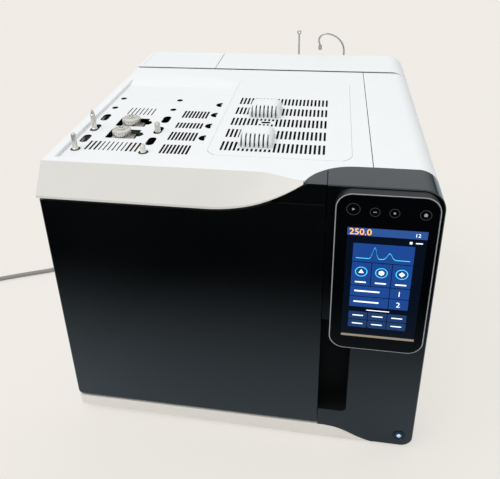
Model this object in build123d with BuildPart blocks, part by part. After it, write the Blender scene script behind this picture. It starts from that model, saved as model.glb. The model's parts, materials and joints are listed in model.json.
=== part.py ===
"""Bench-top gas chromatograph: insulated oven with a swing door, lift-off top covers and a touch console.

Millimetres, +X right, +Y to the back, +Z up. The origin is at the middle of the footprint, on the bench.
"""

import os
from math import radians, sqrt, tan

from build123d import *

os.makedirs("parts", exist_ok=True)

# ---------------------------------------------------------------- driving dimensions
WIDTH = 515.0
DEPTH = 530.0
DECK_Z = 437.0
REAR_STEP = 3.0
CONSOLE_OUT = 9.0
REAR_OUT = 25.0

# clearances and stock
FIT = 0.3
SEAM = 1.0
DOOR_GAP = 2.0
RUN_FIT = 0.05
SHEET = 2.0
LINER_T = 1.2
SHELL_T = 1.2
MOULD_T = 3.0

# front
FACE_SET = 5.0
DOOR_T = 23.0
HEAD_W = 137.5
HEAD_DEPTH = 50.0
HEAD_FOOT = 4.0
TRIM_Z = 28.0
TRIM_FOOT = 9.0
DOOR_CORNER_R = 8.0
DOOR_EDGE_R = 3.0
HEAD_TOP_R = 28.0
HEAD_LOW_R = 17.0
FASCIA_H = 43.0
FASCIA_D = 28.0
LIP_H = 5.0
SWOOSH_IN = 150.0
SWOOSH_RUN = 123.0
TIP_D = 12.0
SWEEP_IN = 84.0
SWOOSH_GAP = 4.0
DOOR_SHOULDER = 28.5
PANEL_SET = 33.0

# oven
WALL_X = 48.25
OVEN_FLOOR = 75.0
OVEN_ROOF = 82.0
OVEN_FRONT = 62.0
OVEN_D = 175.0
FAN_SPACE = 26.0
INSULATION = 28.0
PLUG_GAP = 10.0
GASKET_W = 10.0
HINGE_X = 8.0
HINGE_D = 22.0
PIN_R = 3.0
PIN_LEN = 12.0
HINGE_HUB = 9.0

# deck
BAY_X0 = 13.5
BAY_W = 190.0
BAY_D0 = 41.0
BAY_LEN = 298.0
BAY_RAMP = 24.0
BAY_SINK = 5.0
COVER_T = 2.0
LEDGE = 6.0
LEDGE_T = 2.2
DET_SIDE = 107.5
DET_W = 193.0
DET_D0 = 68.0
DET_LEN = 307.0
SIDE_TOP_X = 81.5
REAR_SEAM = 100.0
REAR_SPLIT = 155.0

# covers' openings
POST_SPACING_X = 99.0
POST_SPACING_Y = 69.0
POST_X = 27.0
POST_D = 76.0
PORT_D = 132.0
PORT_PITCH = 43.0
PORT_X = 77.0
NOTCH_R = 9.0
NOTCH_IN = 3.0
NOTCH_D = 194.0
HOOD_IN = 63.0
HOOD_D = 117.0
HOOD_PITCH = 104.0
HOOD_W = 48.0
HOOD_H = 17.0
SLOT_W = 3.1
SLOT_L = 28.0
SLOT_PITCH = 6.0
SLOT_ROW = 42.5

# console
CONSOLE_W = 120.0
CONSOLE_H = 236.8
CONSOLE_TOP = 2.2
CONSOLE_SIDE = 7.5
CONSOLE_R = 20.0
RIM_W = 1.3

# cord
CORD_R = 4.5
CORD_FLOOR = 4.7

# ---------------------------------------------------------------- places worked out from them
LEFT = -WIDTH / 2
RIGHT = WIDTH / 2
FRONT = CONSOLE_OUT - (DEPTH + CONSOLE_OUT + REAR_OUT) / 2
BACK = FRONT + DEPTH
FACE = FRONT + FACE_SET
DOOR_BACK = FACE + DOOR_T
FRAME_FACE = FRONT + PANEL_SET
HEAD_X = RIGHT - HEAD_W
SWOOSH_X = HEAD_X - SWOOSH_IN
SWEEP_X = HEAD_X - SWEEP_IN
HEAD_BACK = FACE + HEAD_DEPTH
DOOR_X = HEAD_X - SEAM
DOOR_Z = TRIM_Z + DOOR_GAP
SWOOSH_Z = DECK_Z - FASCIA_H
DOOR_TOP = SWOOSH_Z - SWOOSH_GAP
DOOR_STEP = DECK_Z - DOOR_SHOULDER
SWOOSH_R = (SWOOSH_RUN**2 + FASCIA_H**2) / (2 * FASCIA_H)
TIP_X = SWOOSH_X + SWOOSH_RUN
REAR_TOP = DECK_Z + REAR_STEP
SEAM_Y = BACK - REAR_SEAM
SIDE_X = RIGHT - SIDE_TOP_X
HINGE_PX = LEFT + HINGE_X
HINGE_PY = FRONT + HINGE_D

OVEN_X0 = LEFT + WALL_X
OVEN_X1 = DOOR_X - WALL_X
OVEN_Z1 = DECK_Z - OVEN_ROOF
OVEN_Y0 = FRONT + OVEN_FRONT
OVEN_Y1 = OVEN_Y0 + OVEN_D
OVEN_CX = (OVEN_X0 + OVEN_X1) / 2
OVEN_CZ = (OVEN_FLOOR + OVEN_Z1) / 2
LINER_BACK = OVEN_Y1 + FAN_SPACE
WOOL_IN = LINER_T + FIT
WOOL_OUT = WOOL_IN + INSULATION
SHELL_IN = WOOL_OUT + FIT
SHELL_OUT = SHELL_IN + SHELL_T
SHELL_BACK = LINER_BACK + SHELL_OUT

BAY_L = LEFT + BAY_X0
BAY_R = BAY_L + BAY_W
BAY_F = FRONT + BAY_D0
BAY_B = BAY_F + BAY_LEN
BAY_Z = DECK_Z - BAY_SINK
DET_R = RIGHT - DET_SIDE
DET_X0 = DET_R - DET_W
DET_F = FRONT + DET_D0
DET_B = DET_F + DET_LEN
POST_LX = LEFT + POST_X
POST_FY = FRONT + POST_D
PORT_CX = LEFT + PORT_X
PORT_FY = FRONT + PORT_D
NOTCH_Y = FRONT + NOTCH_D
HOOD_X = DET_X0 + HOOD_IN
HOOD_FY = FRONT + HOOD_D

CON_R = RIGHT - CONSOLE_SIDE
CON_L = CON_R - CONSOLE_W
CON_T = DECK_Z - CONSOLE_TOP
CON_B = CON_T - CONSOLE_H
GLASS_Y = FRONT - CONSOLE_OUT


# ---------------------------------------------------------------- helpers
def facing(y):
    """Upright plane at this Y: sketch x is X, sketch y is Z, and extruding goes to the front."""
    return Plane.XZ.offset(-y)


def level(z):
    """Level plane at this Z, with sketch axes along X and Y."""
    return Plane.XY.offset(z)


def block(x0, x1, y0, y1, z0, z1, mode=Mode.ADD):
    """Box between two corners, joined to or cut from the part being built."""
    with Locations(((x0 + x1) / 2, (y0 + y1) / 2, (z0 + z1) / 2)):
        Box(x1 - x0, y1 - y0, z1 - z0, mode=mode)


def panel(x0, x1, z0, z1):
    """Rectangle in an upright sketch, between its limits."""
    with Locations(((x0 + x1) / 2, (z0 + z1) / 2)):
        Rectangle(x1 - x0, z1 - z0)


def plate(x0, x1, y0, y1, mode=Mode.ADD):
    """Rectangle in a level sketch, between its limits."""
    with Locations(((x0 + x1) / 2, (y0 + y1) / 2)):
        Rectangle(x1 - x0, y1 - y0, mode=mode)


def rod_y(x, z, y0, y1, radius, mode=Mode.ADD):
    """Round bar along Y."""
    with BuildSketch(facing(y1)) as disc:
        with Locations((x, z)):
            Circle(radius)
    extrude(disc.sketch, amount=y1 - y0, mode=mode)


def rod_z(x, y, z0, z1, radius, mode=Mode.ADD):
    """Round bar along Z."""
    with BuildSketch(level(z0)) as disc:
        with Locations((x, y)):
            Circle(radius)
    extrude(disc.sketch, amount=z1 - z0, mode=mode)


def rod_x(x0, x1, y, z, radius, mode=Mode.ADD):
    """Round bar along X."""
    with BuildSketch(Plane.YZ.offset(x0)) as disc:
        with Locations((y, z)):
            Circle(radius)
    extrude(disc.sketch, amount=x1 - x0, mode=mode)


def swoosh_z(x, drop=0.0):
    """Height of the fascia's lower edge, or of a line that runs a drop below it."""
    if x <= SWOOSH_X:
        return SWOOSH_Z - drop
    reach = SWOOSH_R + drop
    return SWOOSH_Z + SWOOSH_R - sqrt(reach**2 - (x - SWOOSH_X) ** 2)


def swoosh_x(z, drop=0.0):
    """Where the swoosh, or a line a drop below it, reaches this height."""
    return SWOOSH_X + sqrt((SWOOSH_R + drop) ** 2 - (SWOOSH_Z + SWOOSH_R - z) ** 2)


def save(part, name):
    """Labels a finished piece and writes it to its own file."""
    part.part.label = name
    export_step(part.part, f"parts/{name}.step")


# ---------------------------------------------------------------- chassis: feet, frame and sheet panels
FOOT_R = 14.0
FOOT_IN = 50.0
PAN_Z = 12.0
FLANGE_H = 18.0
PARTITION_X = HEAD_X - 13.5
SHELF_Z = DECK_Z - 110.0

with BuildPart() as feet:
    with BuildSketch(Plane.XY):
        with GridLocations(WIDTH - 2 * FOOT_IN, DEPTH - 2 * FOOT_IN, 2, 2):
            with Locations((0, FRONT + DEPTH / 2)):
                Circle(FOOT_R)
    extrude(amount=PAN_Z)
    chamfer(feet.edges().group_by(Axis.Z)[0], 2)
save(feet, "feet")

with BuildPart() as chassis_frame:
    block(LEFT + SHEET + FIT, RIGHT - SHEET - FIT, FRAME_FACE, BACK - SHEET - FIT, PAN_Z, PAN_Z + SHEET)
    block(LEFT + SHEET + FIT, LEFT + 2 * SHEET + FIT, FRAME_FACE, BACK - SHEET - FIT, PAN_Z, PAN_Z + FLANGE_H)
    block(RIGHT - 2 * SHEET - FIT, RIGHT - SHEET - FIT, HEAD_BACK + SEAM, BACK - SHEET - FIT, PAN_Z,
          PAN_Z + FLANGE_H)
    block(PARTITION_X, PARTITION_X + SHEET, HEAD_BACK, BACK - SHEET - FIT, PAN_Z, BAY_Z - LEDGE - LEDGE_T)
    block(LEFT + SHEET + FIT, RIGHT - SHEET - FIT, SEAM_Y, BACK - SHEET - FIT, SHELF_Z, SHELF_Z + SHEET)
    block(OVEN_CX - 60, OVEN_CX + 60, FRAME_FACE + SHEET + FIT, SHELL_BACK, PAN_Z, OVEN_FLOOR - SHELL_OUT)
    block(OVEN_CX - 56, OVEN_CX + 56, FRAME_FACE, SHELL_BACK + FIT, PAN_Z + SHEET,
          OVEN_FLOOR - SHELL_OUT - SHEET, mode=Mode.SUBTRACT)
save(chassis_frame, "chassis_frame")

with BuildPart() as left_side_panel:
    # its front edge keeps clear of the open door's corner
    block(LEFT, LEFT + SHEET, FRAME_FACE + SHEET, BACK, TRIM_FOOT, BAY_Z - FIT)
    with BuildSketch(Plane.YZ.offset(LEFT)):
        with Locations((BACK - 120, 90)):
            with GridLocations(14, 30, 10, 2):
                SlotOverall(22, 4, rotation=90)
    extrude(amount=SHEET, mode=Mode.SUBTRACT)
save(left_side_panel, "left_side_panel")

with BuildPart() as right_side_cover:
    with BuildSketch(facing(SEAM_Y - SEAM / 2)):
        with BuildLine():
            Line((RIGHT, TRIM_FOOT), (RIGHT, DECK_Z - HEAD_TOP_R))
            RadiusArc((RIGHT, DECK_Z - HEAD_TOP_R), (RIGHT - HEAD_TOP_R, DECK_Z), -HEAD_TOP_R)
            Line((RIGHT - HEAD_TOP_R, DECK_Z), (SIDE_X, DECK_Z))
            Line((SIDE_X, DECK_Z), (SIDE_X, DECK_Z - SHEET))
            Line((SIDE_X, DECK_Z - SHEET), (RIGHT - HEAD_TOP_R, DECK_Z - SHEET))
            RadiusArc((RIGHT - HEAD_TOP_R, DECK_Z - SHEET), (RIGHT - SHEET, DECK_Z - HEAD_TOP_R),
                      HEAD_TOP_R - SHEET)
            Line((RIGHT - SHEET, DECK_Z - HEAD_TOP_R), (RIGHT - SHEET, TRIM_FOOT))
            Line((RIGHT - SHEET, TRIM_FOOT), (RIGHT, TRIM_FOOT))
        make_face()
    extrude(amount=SEAM_Y - SEAM / 2 - HEAD_BACK - FIT)
    block(RIGHT - SHEET, RIGHT, SEAM_Y - SEAM / 2, BACK, TRIM_FOOT, DECK_Z - HEAD_TOP_R)
    with BuildSketch(Plane.YZ.offset(RIGHT - SHEET)):
        with Locations((BACK - 130, 120), (BACK - 130, DECK_Z - 130)):
            with GridLocations(12, 30, 12, 3):
                SlotOverall(24, 4, rotation=90)
    extrude(amount=SHEET, mode=Mode.SUBTRACT)
save(right_side_cover, "right_side_cover")

# ---------------------------------------------------------------- base trim, its right end swept down
TRIM_D = PANEL_SET - FACE_SET - FIT
SWEEP_TOP_X = HEAD_X + 5.0
SWEEP_END_X = RIGHT - 54.5
with BuildPart() as base_front_trim:
    with BuildSketch(facing(FACE + TRIM_D)):
        with BuildLine():
            Polyline((SWEEP_TOP_X + 18, HEAD_FOOT), (LEFT + DOOR_CORNER_R, TRIM_FOOT), (LEFT, TRIM_FOOT + 3),
                     (LEFT, TRIM_Z), (SWEEP_TOP_X, TRIM_Z))
            Bezier((SWEEP_TOP_X, TRIM_Z), (SWEEP_TOP_X + 38, TRIM_Z), (SWEEP_END_X - 36, HEAD_FOOT + 6),
                   (SWEEP_END_X, HEAD_FOOT))
            Line((SWEEP_END_X, HEAD_FOOT), (SWEEP_TOP_X + 18, HEAD_FOOT))
        make_face()
    extrude(amount=TRIM_D)
    fillet(base_front_trim.edges().filter_by(Axis.Z).sort_by(Axis.Y)[0], 6)
    block(LEFT + MOULD_T, HEAD_X - MOULD_T, FACE + MOULD_T, FACE + TRIM_D, TRIM_FOOT + MOULD_T,
          TRIM_Z - MOULD_T, mode=Mode.SUBTRACT)
    rod_z(HINGE_PX, HINGE_PY, TRIM_Z - MOULD_T, TRIM_Z, PIN_R + FIT, mode=Mode.SUBTRACT)
save(base_front_trim, "base_front_trim")

# ---------------------------------------------------------------- fascia: a ruled moulding, swept up to a tip
LAST_X = TIP_X - 2.0
SWEEP_STEPS = 12
STATIONS = [SWOOSH_X + (LAST_X - SWOOSH_X) * i / SWEEP_STEPS for i in range(SWEEP_STEPS + 1)]
CREST = [(SWEEP_X, FASCIA_D), (SWEEP_X + 16, FASCIA_D), (TIP_X - 21, TIP_D + 1), (TIP_X, TIP_D)]


def crest_depth(x):
    """Depth of the crest line, where the sloping face meets the deck, on its Bezier."""
    if x <= SWEEP_X:
        return FASCIA_D
    low, high = 0.0, 1.0
    for _ in range(40):
        mid = (low + high) / 2
        if bezier_point(mid)[0] < x:
            low = mid
        else:
            high = mid
    return bezier_point(low)[1]


def bezier_point(t):
    """Point of the crest's Bezier at parameter t."""
    weights = ((1 - t) ** 3, 3 * t * (1 - t) ** 2, 3 * t**2 * (1 - t), t**3)
    return [sum(w * p[i] for w, p in zip(weights, CREST)) for i in (0, 1)]


def fascia_profile(x, inset):
    """Section of the fascia at X, in depth and height, drawn in by the wall where it is the hollow."""
    low = swoosh_z(x)
    share = (DECK_Z - low) / FASCIA_H
    set_back = FACE_SET * max(0.0, (x - SWEEP_X) / (TIP_X - SWEEP_X))
    lip = LIP_H * share
    crest = crest_depth(x)
    back = max(crest, set_back + 3)
    if inset == 0:
        shape = [(set_back, low + lip), (set_back, low + lip / 3), (set_back + 2 * lip / 3, low),
                 (back, low), (crest, DECK_Z)]
        return [(FRONT + d, z) for d, z in shape]
    slope = inset * 1.6
    shape = [(set_back + inset, low + lip), (set_back + inset, low + inset), (back + 1, low + inset),
             (back + 1, DECK_Z - slope), (crest, DECK_Z - slope)]
    return [(FRONT + d, z) for d, z in shape]


with BuildPart() as front_fascia:
    with BuildSketch(Plane.YZ.offset(LEFT)):
        with BuildLine():
            Polyline(*fascia_profile(LEFT, 0), close=True)
        make_face()
    extrude(amount=SWOOSH_X - LEFT)
    for station in STATIONS:
        with BuildSketch(Plane.YZ.offset(station)):
            with BuildLine():
                Polyline(*fascia_profile(station, 0), close=True)
            make_face()
    loft(ruled=True)
    with BuildSketch(Plane.YZ.offset(LEFT + MOULD_T)):
        with BuildLine():
            Polyline(*fascia_profile(LEFT, MOULD_T), close=True)
        make_face()
    extrude(amount=SWOOSH_X - LEFT - MOULD_T, mode=Mode.SUBTRACT)
    rod_z(HINGE_PX, HINGE_PY, SWOOSH_Z, SWOOSH_Z + MOULD_T, PIN_R + FIT, mode=Mode.SUBTRACT)
save(front_fascia, "front_fascia")

# ---------------------------------------------------------------- top deck with its bay and cover seats
ARC_IN = 35.0
ARC_X = HEAD_X + ARC_IN
ARC_DX = ARC_X - TIP_X
ARC_DY = FACE_SET + HEAD_DEPTH - TIP_D
ARC_R = (ARC_DX**2 + ARC_DY**2) / (2 * ARC_DY)
DECK_T = 3.0
DET_R_FRONT = 18.0


def arc_y(x, gap=0.0):
    """Y of the deck's round edge behind the head, or of a line a gap in front of it."""
    return FRONT + FACE_SET + HEAD_DEPTH - ARC_R + sqrt((ARC_R - gap) ** 2 - (ARC_X - x) ** 2)


with BuildPart() as top_deck:
    with BuildSketch(level(DECK_Z - DECK_T)):
        with BuildLine():
            Polyline((SIDE_X - SEAM, HEAD_BACK), (SIDE_X - SEAM, SEAM_Y - SEAM / 2),
                     (LEFT, SEAM_Y - SEAM / 2), (LEFT, FRONT + FASCIA_D + FIT),
                     (SWEEP_X, FRONT + FASCIA_D + FIT))
            Bezier(*[(x, FRONT + d + FIT) for x, d in CREST])
            ThreePointArc((TIP_X, FRONT + TIP_D + FIT), (ARC_X - 34, arc_y(ARC_X - 34)), (ARC_X, HEAD_BACK))
            Line((ARC_X, HEAD_BACK), (SIDE_X - SEAM, HEAD_BACK))
        make_face()
    extrude(amount=DECK_T)
    block(LEFT, LEFT + SHEET, FRAME_FACE, SEAM_Y - SEAM / 2, BAY_Z, DECK_Z - DECK_T)
    block(LEFT, SIDE_X - SEAM, SEAM_Y - SEAM / 2 - SHEET, SEAM_Y - SEAM / 2, BAY_Z, DECK_Z - DECK_T)
    # injection bay: walls, ledge and the ramp at its back
    with BuildSketch(level(BAY_Z - LEDGE - LEDGE_T)):
        plate(BAY_L - DECK_T, BAY_R + DECK_T, BAY_F - DECK_T, BAY_B + BAY_RAMP + DECK_T)
    extrude(amount=DECK_Z - DECK_T - BAY_Z + LEDGE + LEDGE_T)
    with BuildSketch(level(BAY_Z - COVER_T)):
        plate(BAY_L, BAY_R, BAY_F, BAY_B)
    extrude(amount=BAY_SINK + COVER_T, mode=Mode.SUBTRACT)
    with BuildSketch(level(BAY_Z - LEDGE - LEDGE_T)):
        plate(BAY_L + LEDGE, BAY_R - LEDGE, BAY_F + LEDGE, BAY_B - LEDGE)
    extrude(amount=LEDGE + LEDGE_T, mode=Mode.SUBTRACT)
    # wells below the cover's finger notches
    with BuildSketch(level(BAY_Z - LEDGE - LEDGE_T)):
        with Locations((BAY_R - NOTCH_IN, NOTCH_Y)):
            with GridLocations(1, PORT_PITCH, 1, 4):
                Circle(NOTCH_R)
        plate(BAY_R, BAY_R + NOTCH_R, BAY_F, BAY_B, mode=Mode.SUBTRACT)
    extrude(amount=LEDGE + LEDGE_T - COVER_T, mode=Mode.SUBTRACT)
    with BuildSketch(Plane.YZ.offset(BAY_L)):
        with BuildLine():
            Polyline((BAY_B, BAY_Z), (BAY_B + BAY_RAMP, DECK_Z), (BAY_B, DECK_Z), close=True)
        make_face()
    extrude(amount=BAY_W, mode=Mode.SUBTRACT)
    # detector cover: a rebate in the deck with a ledge below
    with BuildSketch(level(DECK_Z - DECK_T - LEDGE_T)):
        plate(DET_X0 - LEDGE / 2, DET_R + LEDGE / 2, DET_F - LEDGE / 2, DET_B + LEDGE / 2)
    extrude(amount=LEDGE_T)
    with BuildSketch(level(DECK_Z - DECK_T)) as det_rebate:
        plate(DET_X0, DET_R, DET_F, DET_B)
        fillet(det_rebate.vertices(), DET_R_FRONT)
    extrude(amount=DECK_T, mode=Mode.SUBTRACT)
    with BuildSketch(level(DECK_Z - DECK_T - LEDGE_T)) as det_hole:
        plate(DET_X0 + LEDGE, DET_R - LEDGE, DET_F + LEDGE, DET_B - LEDGE)
        fillet(det_hole.vertices(), DET_R_FRONT - LEDGE)
    extrude(amount=LEDGE_T, mode=Mode.SUBTRACT)
save(top_deck, "top_deck")

# ---------------------------------------------------------------- injection cover, posts and ports
HOLE_W = 12.0
SIGHT_R = 5.0
GRILLE_PITCH = 6.6
GRILLE_W = 1.8
PORT_OPEN_W = 46.0
PORT_OPEN_D = 31.0
SPANNER_R = 8.0
GRID_BACK = 148.0
SIGHT_ROWS = (155.0, 197.0)
FINGER_ROWS = (35.0, 73.0, 114.0)
FINGER_L = 26.0
VENT_IN = 36.0
VENT_PITCH = 5.3
VENT_ROWS = (13.0, 56.0, 138.0)
VENT_SHORT_ROW = 95.0
VENT_SHORT = 8.0
GRILLE_ROW = 14.0
GRILLE_SIDE = 4.5 * GRILLE_PITCH

with BuildPart() as injection_cover:
    with BuildSketch(level(BAY_Z - COVER_T)) as injection_outline:
        plate(BAY_L + FIT, BAY_R - FIT, BAY_F + FIT, BAY_B - FIT)
        # round sight holes, long finger slots and the posts' holes, in two columns
        with Locations((POST_LX, POST_FY), (POST_LX + POST_SPACING_X, POST_FY)):
            Circle(HOLE_W / 2 + 1, mode=Mode.SUBTRACT)
            with Locations(*[(0, row) for row in SIGHT_ROWS]):
                Circle(SIGHT_R, mode=Mode.SUBTRACT)
            with Locations(*[(0, row) for row in FINGER_ROWS]):
                SlotOverall(FINGER_L, HOLE_W, rotation=90, mode=Mode.SUBTRACT)
        # ports
        with Locations((PORT_CX, PORT_FY), (PORT_CX, PORT_FY + PORT_PITCH)):
            RectangleRounded(PORT_OPEN_W, PORT_OPEN_D, 2, mode=Mode.SUBTRACT)
        # room for a spanner beside each port
        with Locations(*[(PORT_CX + PORT_OPEN_W / 2, PORT_FY + row * PORT_PITCH) for row in (0, 1)]):
            RegularPolygon(SPANNER_R, 6, mode=Mode.SUBTRACT)
        # finger notches along the right edge
        with Locations((BAY_R - NOTCH_IN, NOTCH_Y)):
            with GridLocations(1, PORT_PITCH, 1, 4):
                Circle(NOTCH_R, mode=Mode.SUBTRACT)
        # cooling slots
        with Locations(*[(BAY_R - VENT_IN, POST_FY + row) for row in VENT_ROWS]):
            with GridLocations(VENT_PITCH, 1, 8, 1):
                Rectangle(SLOT_W, SLOT_L, mode=Mode.SUBTRACT)
        with Locations((BAY_R - VENT_IN, POST_FY + VENT_SHORT_ROW)):
            with GridLocations(VENT_PITCH, 1, 8, 1):
                Rectangle(SLOT_W, SLOT_L - VENT_SHORT, mode=Mode.SUBTRACT)
        with Locations((PORT_CX, POST_FY + GRILLE_ROW)):
            with GridLocations(GRILLE_PITCH, 1, 12, 1):
                Rectangle(GRILLE_W, SLOT_L, mode=Mode.SUBTRACT)
            with Locations((-GRILLE_SIDE, 0), (GRILLE_SIDE, 0)):
                with GridLocations(GRILLE_PITCH, 1, 3, 1):
                    Rectangle(SLOT_W, SLOT_L, mode=Mode.SUBTRACT)
        with Locations((PORT_CX, POST_FY + GRID_BACK - 5)):
            with GridLocations(GRILLE_PITCH, 1, 7, 1):
                Rectangle(GRILLE_W, SLOT_L, mode=Mode.SUBTRACT)
    extrude(amount=COVER_T)
save(injection_cover, "injection_cover")

POST_TOPS = [(0, 0, 24.0, 3.6), (0, 1, 31.0, 3.6), (1, 1, 15.0, 4.2), (1, 0, 12.5, 3.8)]
SHANK_R = 4.5
SHANK_UP = 1.5
POST_FOOT = DECK_Z - OVEN_ROOF + SHELL_OUT
with BuildPart() as autosampler_posts:
    for column, row, rise, radius in POST_TOPS:
        post_x = LEFT + POST_X + column * POST_SPACING_X
        post_y = POST_FY + row * POST_SPACING_Y
        rod_z(post_x, post_y, POST_FOOT, BAY_Z + SHANK_UP, SHANK_R)
        rod_z(post_x, post_y, BAY_Z + SHANK_UP, BAY_Z + rise, radius)
    chamfer(autosampler_posts.faces().filter_by(Axis.Z).sort_by(Axis.Z)[-4:].edges(), 1.8)
save(autosampler_posts, "autosampler_posts")

PORT_R = 11.0
PORT_DROP = 6.0
CAP_R = 14.5
CAP_H = 9.0
CAP_Z = BAY_Z - 1.0
with BuildPart() as injection_ports:
    for row in (0, 1):
        port_y = PORT_FY + row * PORT_PITCH
        port_x = PORT_CX - 2
        rod_z(port_x, port_y, OVEN_Z1 - PORT_DROP, CAP_Z, PORT_R)
        rod_z(port_x, port_y, POST_FOOT, POST_FOOT + 5, 18)
        block(port_x - 17, port_x + 17, port_y - 13, port_y + 13, CAP_Z - 14, CAP_Z - 5)
        rod_x(port_x + 15, port_x + 21, port_y - 8, CAP_Z - 9.5, 3.2)
        rod_z(port_x, port_y, OVEN_Z1 - PORT_DROP, CAP_Z, 0.8, mode=Mode.SUBTRACT)
save(injection_ports, "injection_ports")

for row, label in ((0, "septum_cap_front"), (1, "septum_cap_rear")):
    cap_x = PORT_CX - 2
    cap_y = PORT_FY + row * PORT_PITCH
    with BuildPart() as septum_cap:
        rod_z(cap_x, cap_y, CAP_Z + 0.2, CAP_Z + CAP_H, CAP_R)
        fillet(septum_cap.edges().group_by(Axis.Z)[-1], 2)
        with BuildSketch(level(CAP_Z + 2)):
            with Locations((cap_x, cap_y)):
                with PolarLocations(CAP_R + 0.4, 12):
                    Circle(1.5)
        extrude(amount=CAP_H, mode=Mode.SUBTRACT)
        with BuildSketch(level(CAP_Z + CAP_H)):
            with Locations((cap_x, cap_y)):
                RegularPolygon(5, 6)
        extrude(amount=3.5)
        rod_z(cap_x, cap_y, CAP_Z, CAP_Z + CAP_H + 4, 1.0, mode=Mode.SUBTRACT)
    save(septum_cap, label)

# ---------------------------------------------------------------- detector cover, hoods and detectors
HOOD_T = 2.0
HOOD_R = 11.0
DET_BODY_R = 15.0
DET_TOWER_R = 11.0
SLOT_FIRST = DET_X0 + 18.0
with BuildPart() as detector_cover:
    with BuildSketch(level(DECK_Z - DECK_T)) as det_outline:
        plate(DET_X0 + FIT, DET_R - FIT, DET_F + FIT, DET_B - FIT)
        fillet(det_outline.vertices(), DET_R_FRONT - FIT)
        with Locations((SLOT_FIRST + 11.5 * SLOT_PITCH, DET_F + 29.5 + 2 * SLOT_ROW)):
            with GridLocations(SLOT_PITCH, SLOT_ROW, 24, 5):
                Rectangle(SLOT_W, SLOT_L, mode=Mode.SUBTRACT)
        # solid pads where the hoods stand, each with its own opening
        for row in (0, 1):
            with Locations((HOOD_X, HOOD_FY + row * HOOD_PITCH)):
                Rectangle(HOOD_W + 3, HOOD_W + 3)
                Rectangle(HOOD_W - 16, HOOD_W - 16, mode=Mode.SUBTRACT)
        with Locations((HOOD_X + 5, HOOD_FY + HOOD_PITCH / 2 + 13)):
            Rectangle(24, 12)
            SlotOverall(14, 6, mode=Mode.SUBTRACT)
    extrude(amount=DECK_T)
save(detector_cover, "detector_cover")

for row, label in ((0, "detector_hood_front"), (1, "detector_hood_rear")):
    hood_y = HOOD_FY + row * HOOD_PITCH
    with BuildPart() as detector_hood:
        with BuildSketch(level(DECK_Z)):
            with Locations((HOOD_X, hood_y)):
                RectangleRounded(HOOD_W, HOOD_W, 6)
        extrude(amount=HOOD_H)
        fillet(detector_hood.faces().sort_by(Axis.Z)[-1].edges(), HOOD_R)
        with BuildSketch(level(DECK_Z)):
            with Locations((HOOD_X, hood_y)):
                RectangleRounded(HOOD_W - 2 * HOOD_T, HOOD_W - 2 * HOOD_T, 4)
        extrude(amount=HOOD_H - HOOD_R, mode=Mode.SUBTRACT)
        with BuildSketch(level(DECK_Z)):
            with Locations((HOOD_X, hood_y)):
                Rectangle(HOOD_W - 2 * HOOD_R, HOOD_W - 2 * HOOD_R)
        extrude(amount=HOOD_H - HOOD_T, mode=Mode.SUBTRACT)
        with BuildSketch(Plane.XZ.offset(-(hood_y - HOOD_W / 2 + HOOD_R + HOOD_T))):
            with Locations((HOOD_X, DECK_Z + HOOD_H / 2 + 1)):
                with GridLocations(HOOD_W / 8, 1, 7, 1):
                    Rectangle(2.4, HOOD_H)
        extrude(amount=HOOD_R + 2 * HOOD_T, mode=Mode.SUBTRACT)
    save(detector_hood, label)

with BuildPart() as detectors:
    for row in (0, 1):
        tower_y = HOOD_FY + row * HOOD_PITCH
        rod_z(HOOD_X, tower_y, OVEN_Z1 - PORT_DROP, POST_FOOT + 16, DET_BODY_R)
        rod_z(HOOD_X, tower_y, POST_FOOT + 16, DECK_Z + HOOD_H - HOOD_T - 5, DET_TOWER_R)
        rod_z(HOOD_X, tower_y, POST_FOOT, POST_FOOT + 4, 20)
        rod_z(HOOD_X, tower_y, DECK_Z, DECK_Z + HOOD_H, 4, mode=Mode.SUBTRACT)
        rod_x(HOOD_X, HOOD_X + 26, tower_y, POST_FOOT + 24, 4)
save(detectors, "detectors")

# ---------------------------------------------------------------- black upper trim and front panel
RECESS_W = 40.0
RECESS_Z0 = 61.0
RECESS_Z1 = 231.0
RECESS_D = 30.0
RECESS_R = 8.0
FACE_T = 3.5
POWER_X = RIGHT - 19.5
POWER_Z = 25.0
POWER_R = 8.7
LAMP_R = 4.2
TRIM_TOP_D = 24.0
TRIM_STEP = DOOR_STEP + DOOR_GAP
TRIM_X0 = swoosh_x(TRIM_STEP, FIT * 2)

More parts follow.
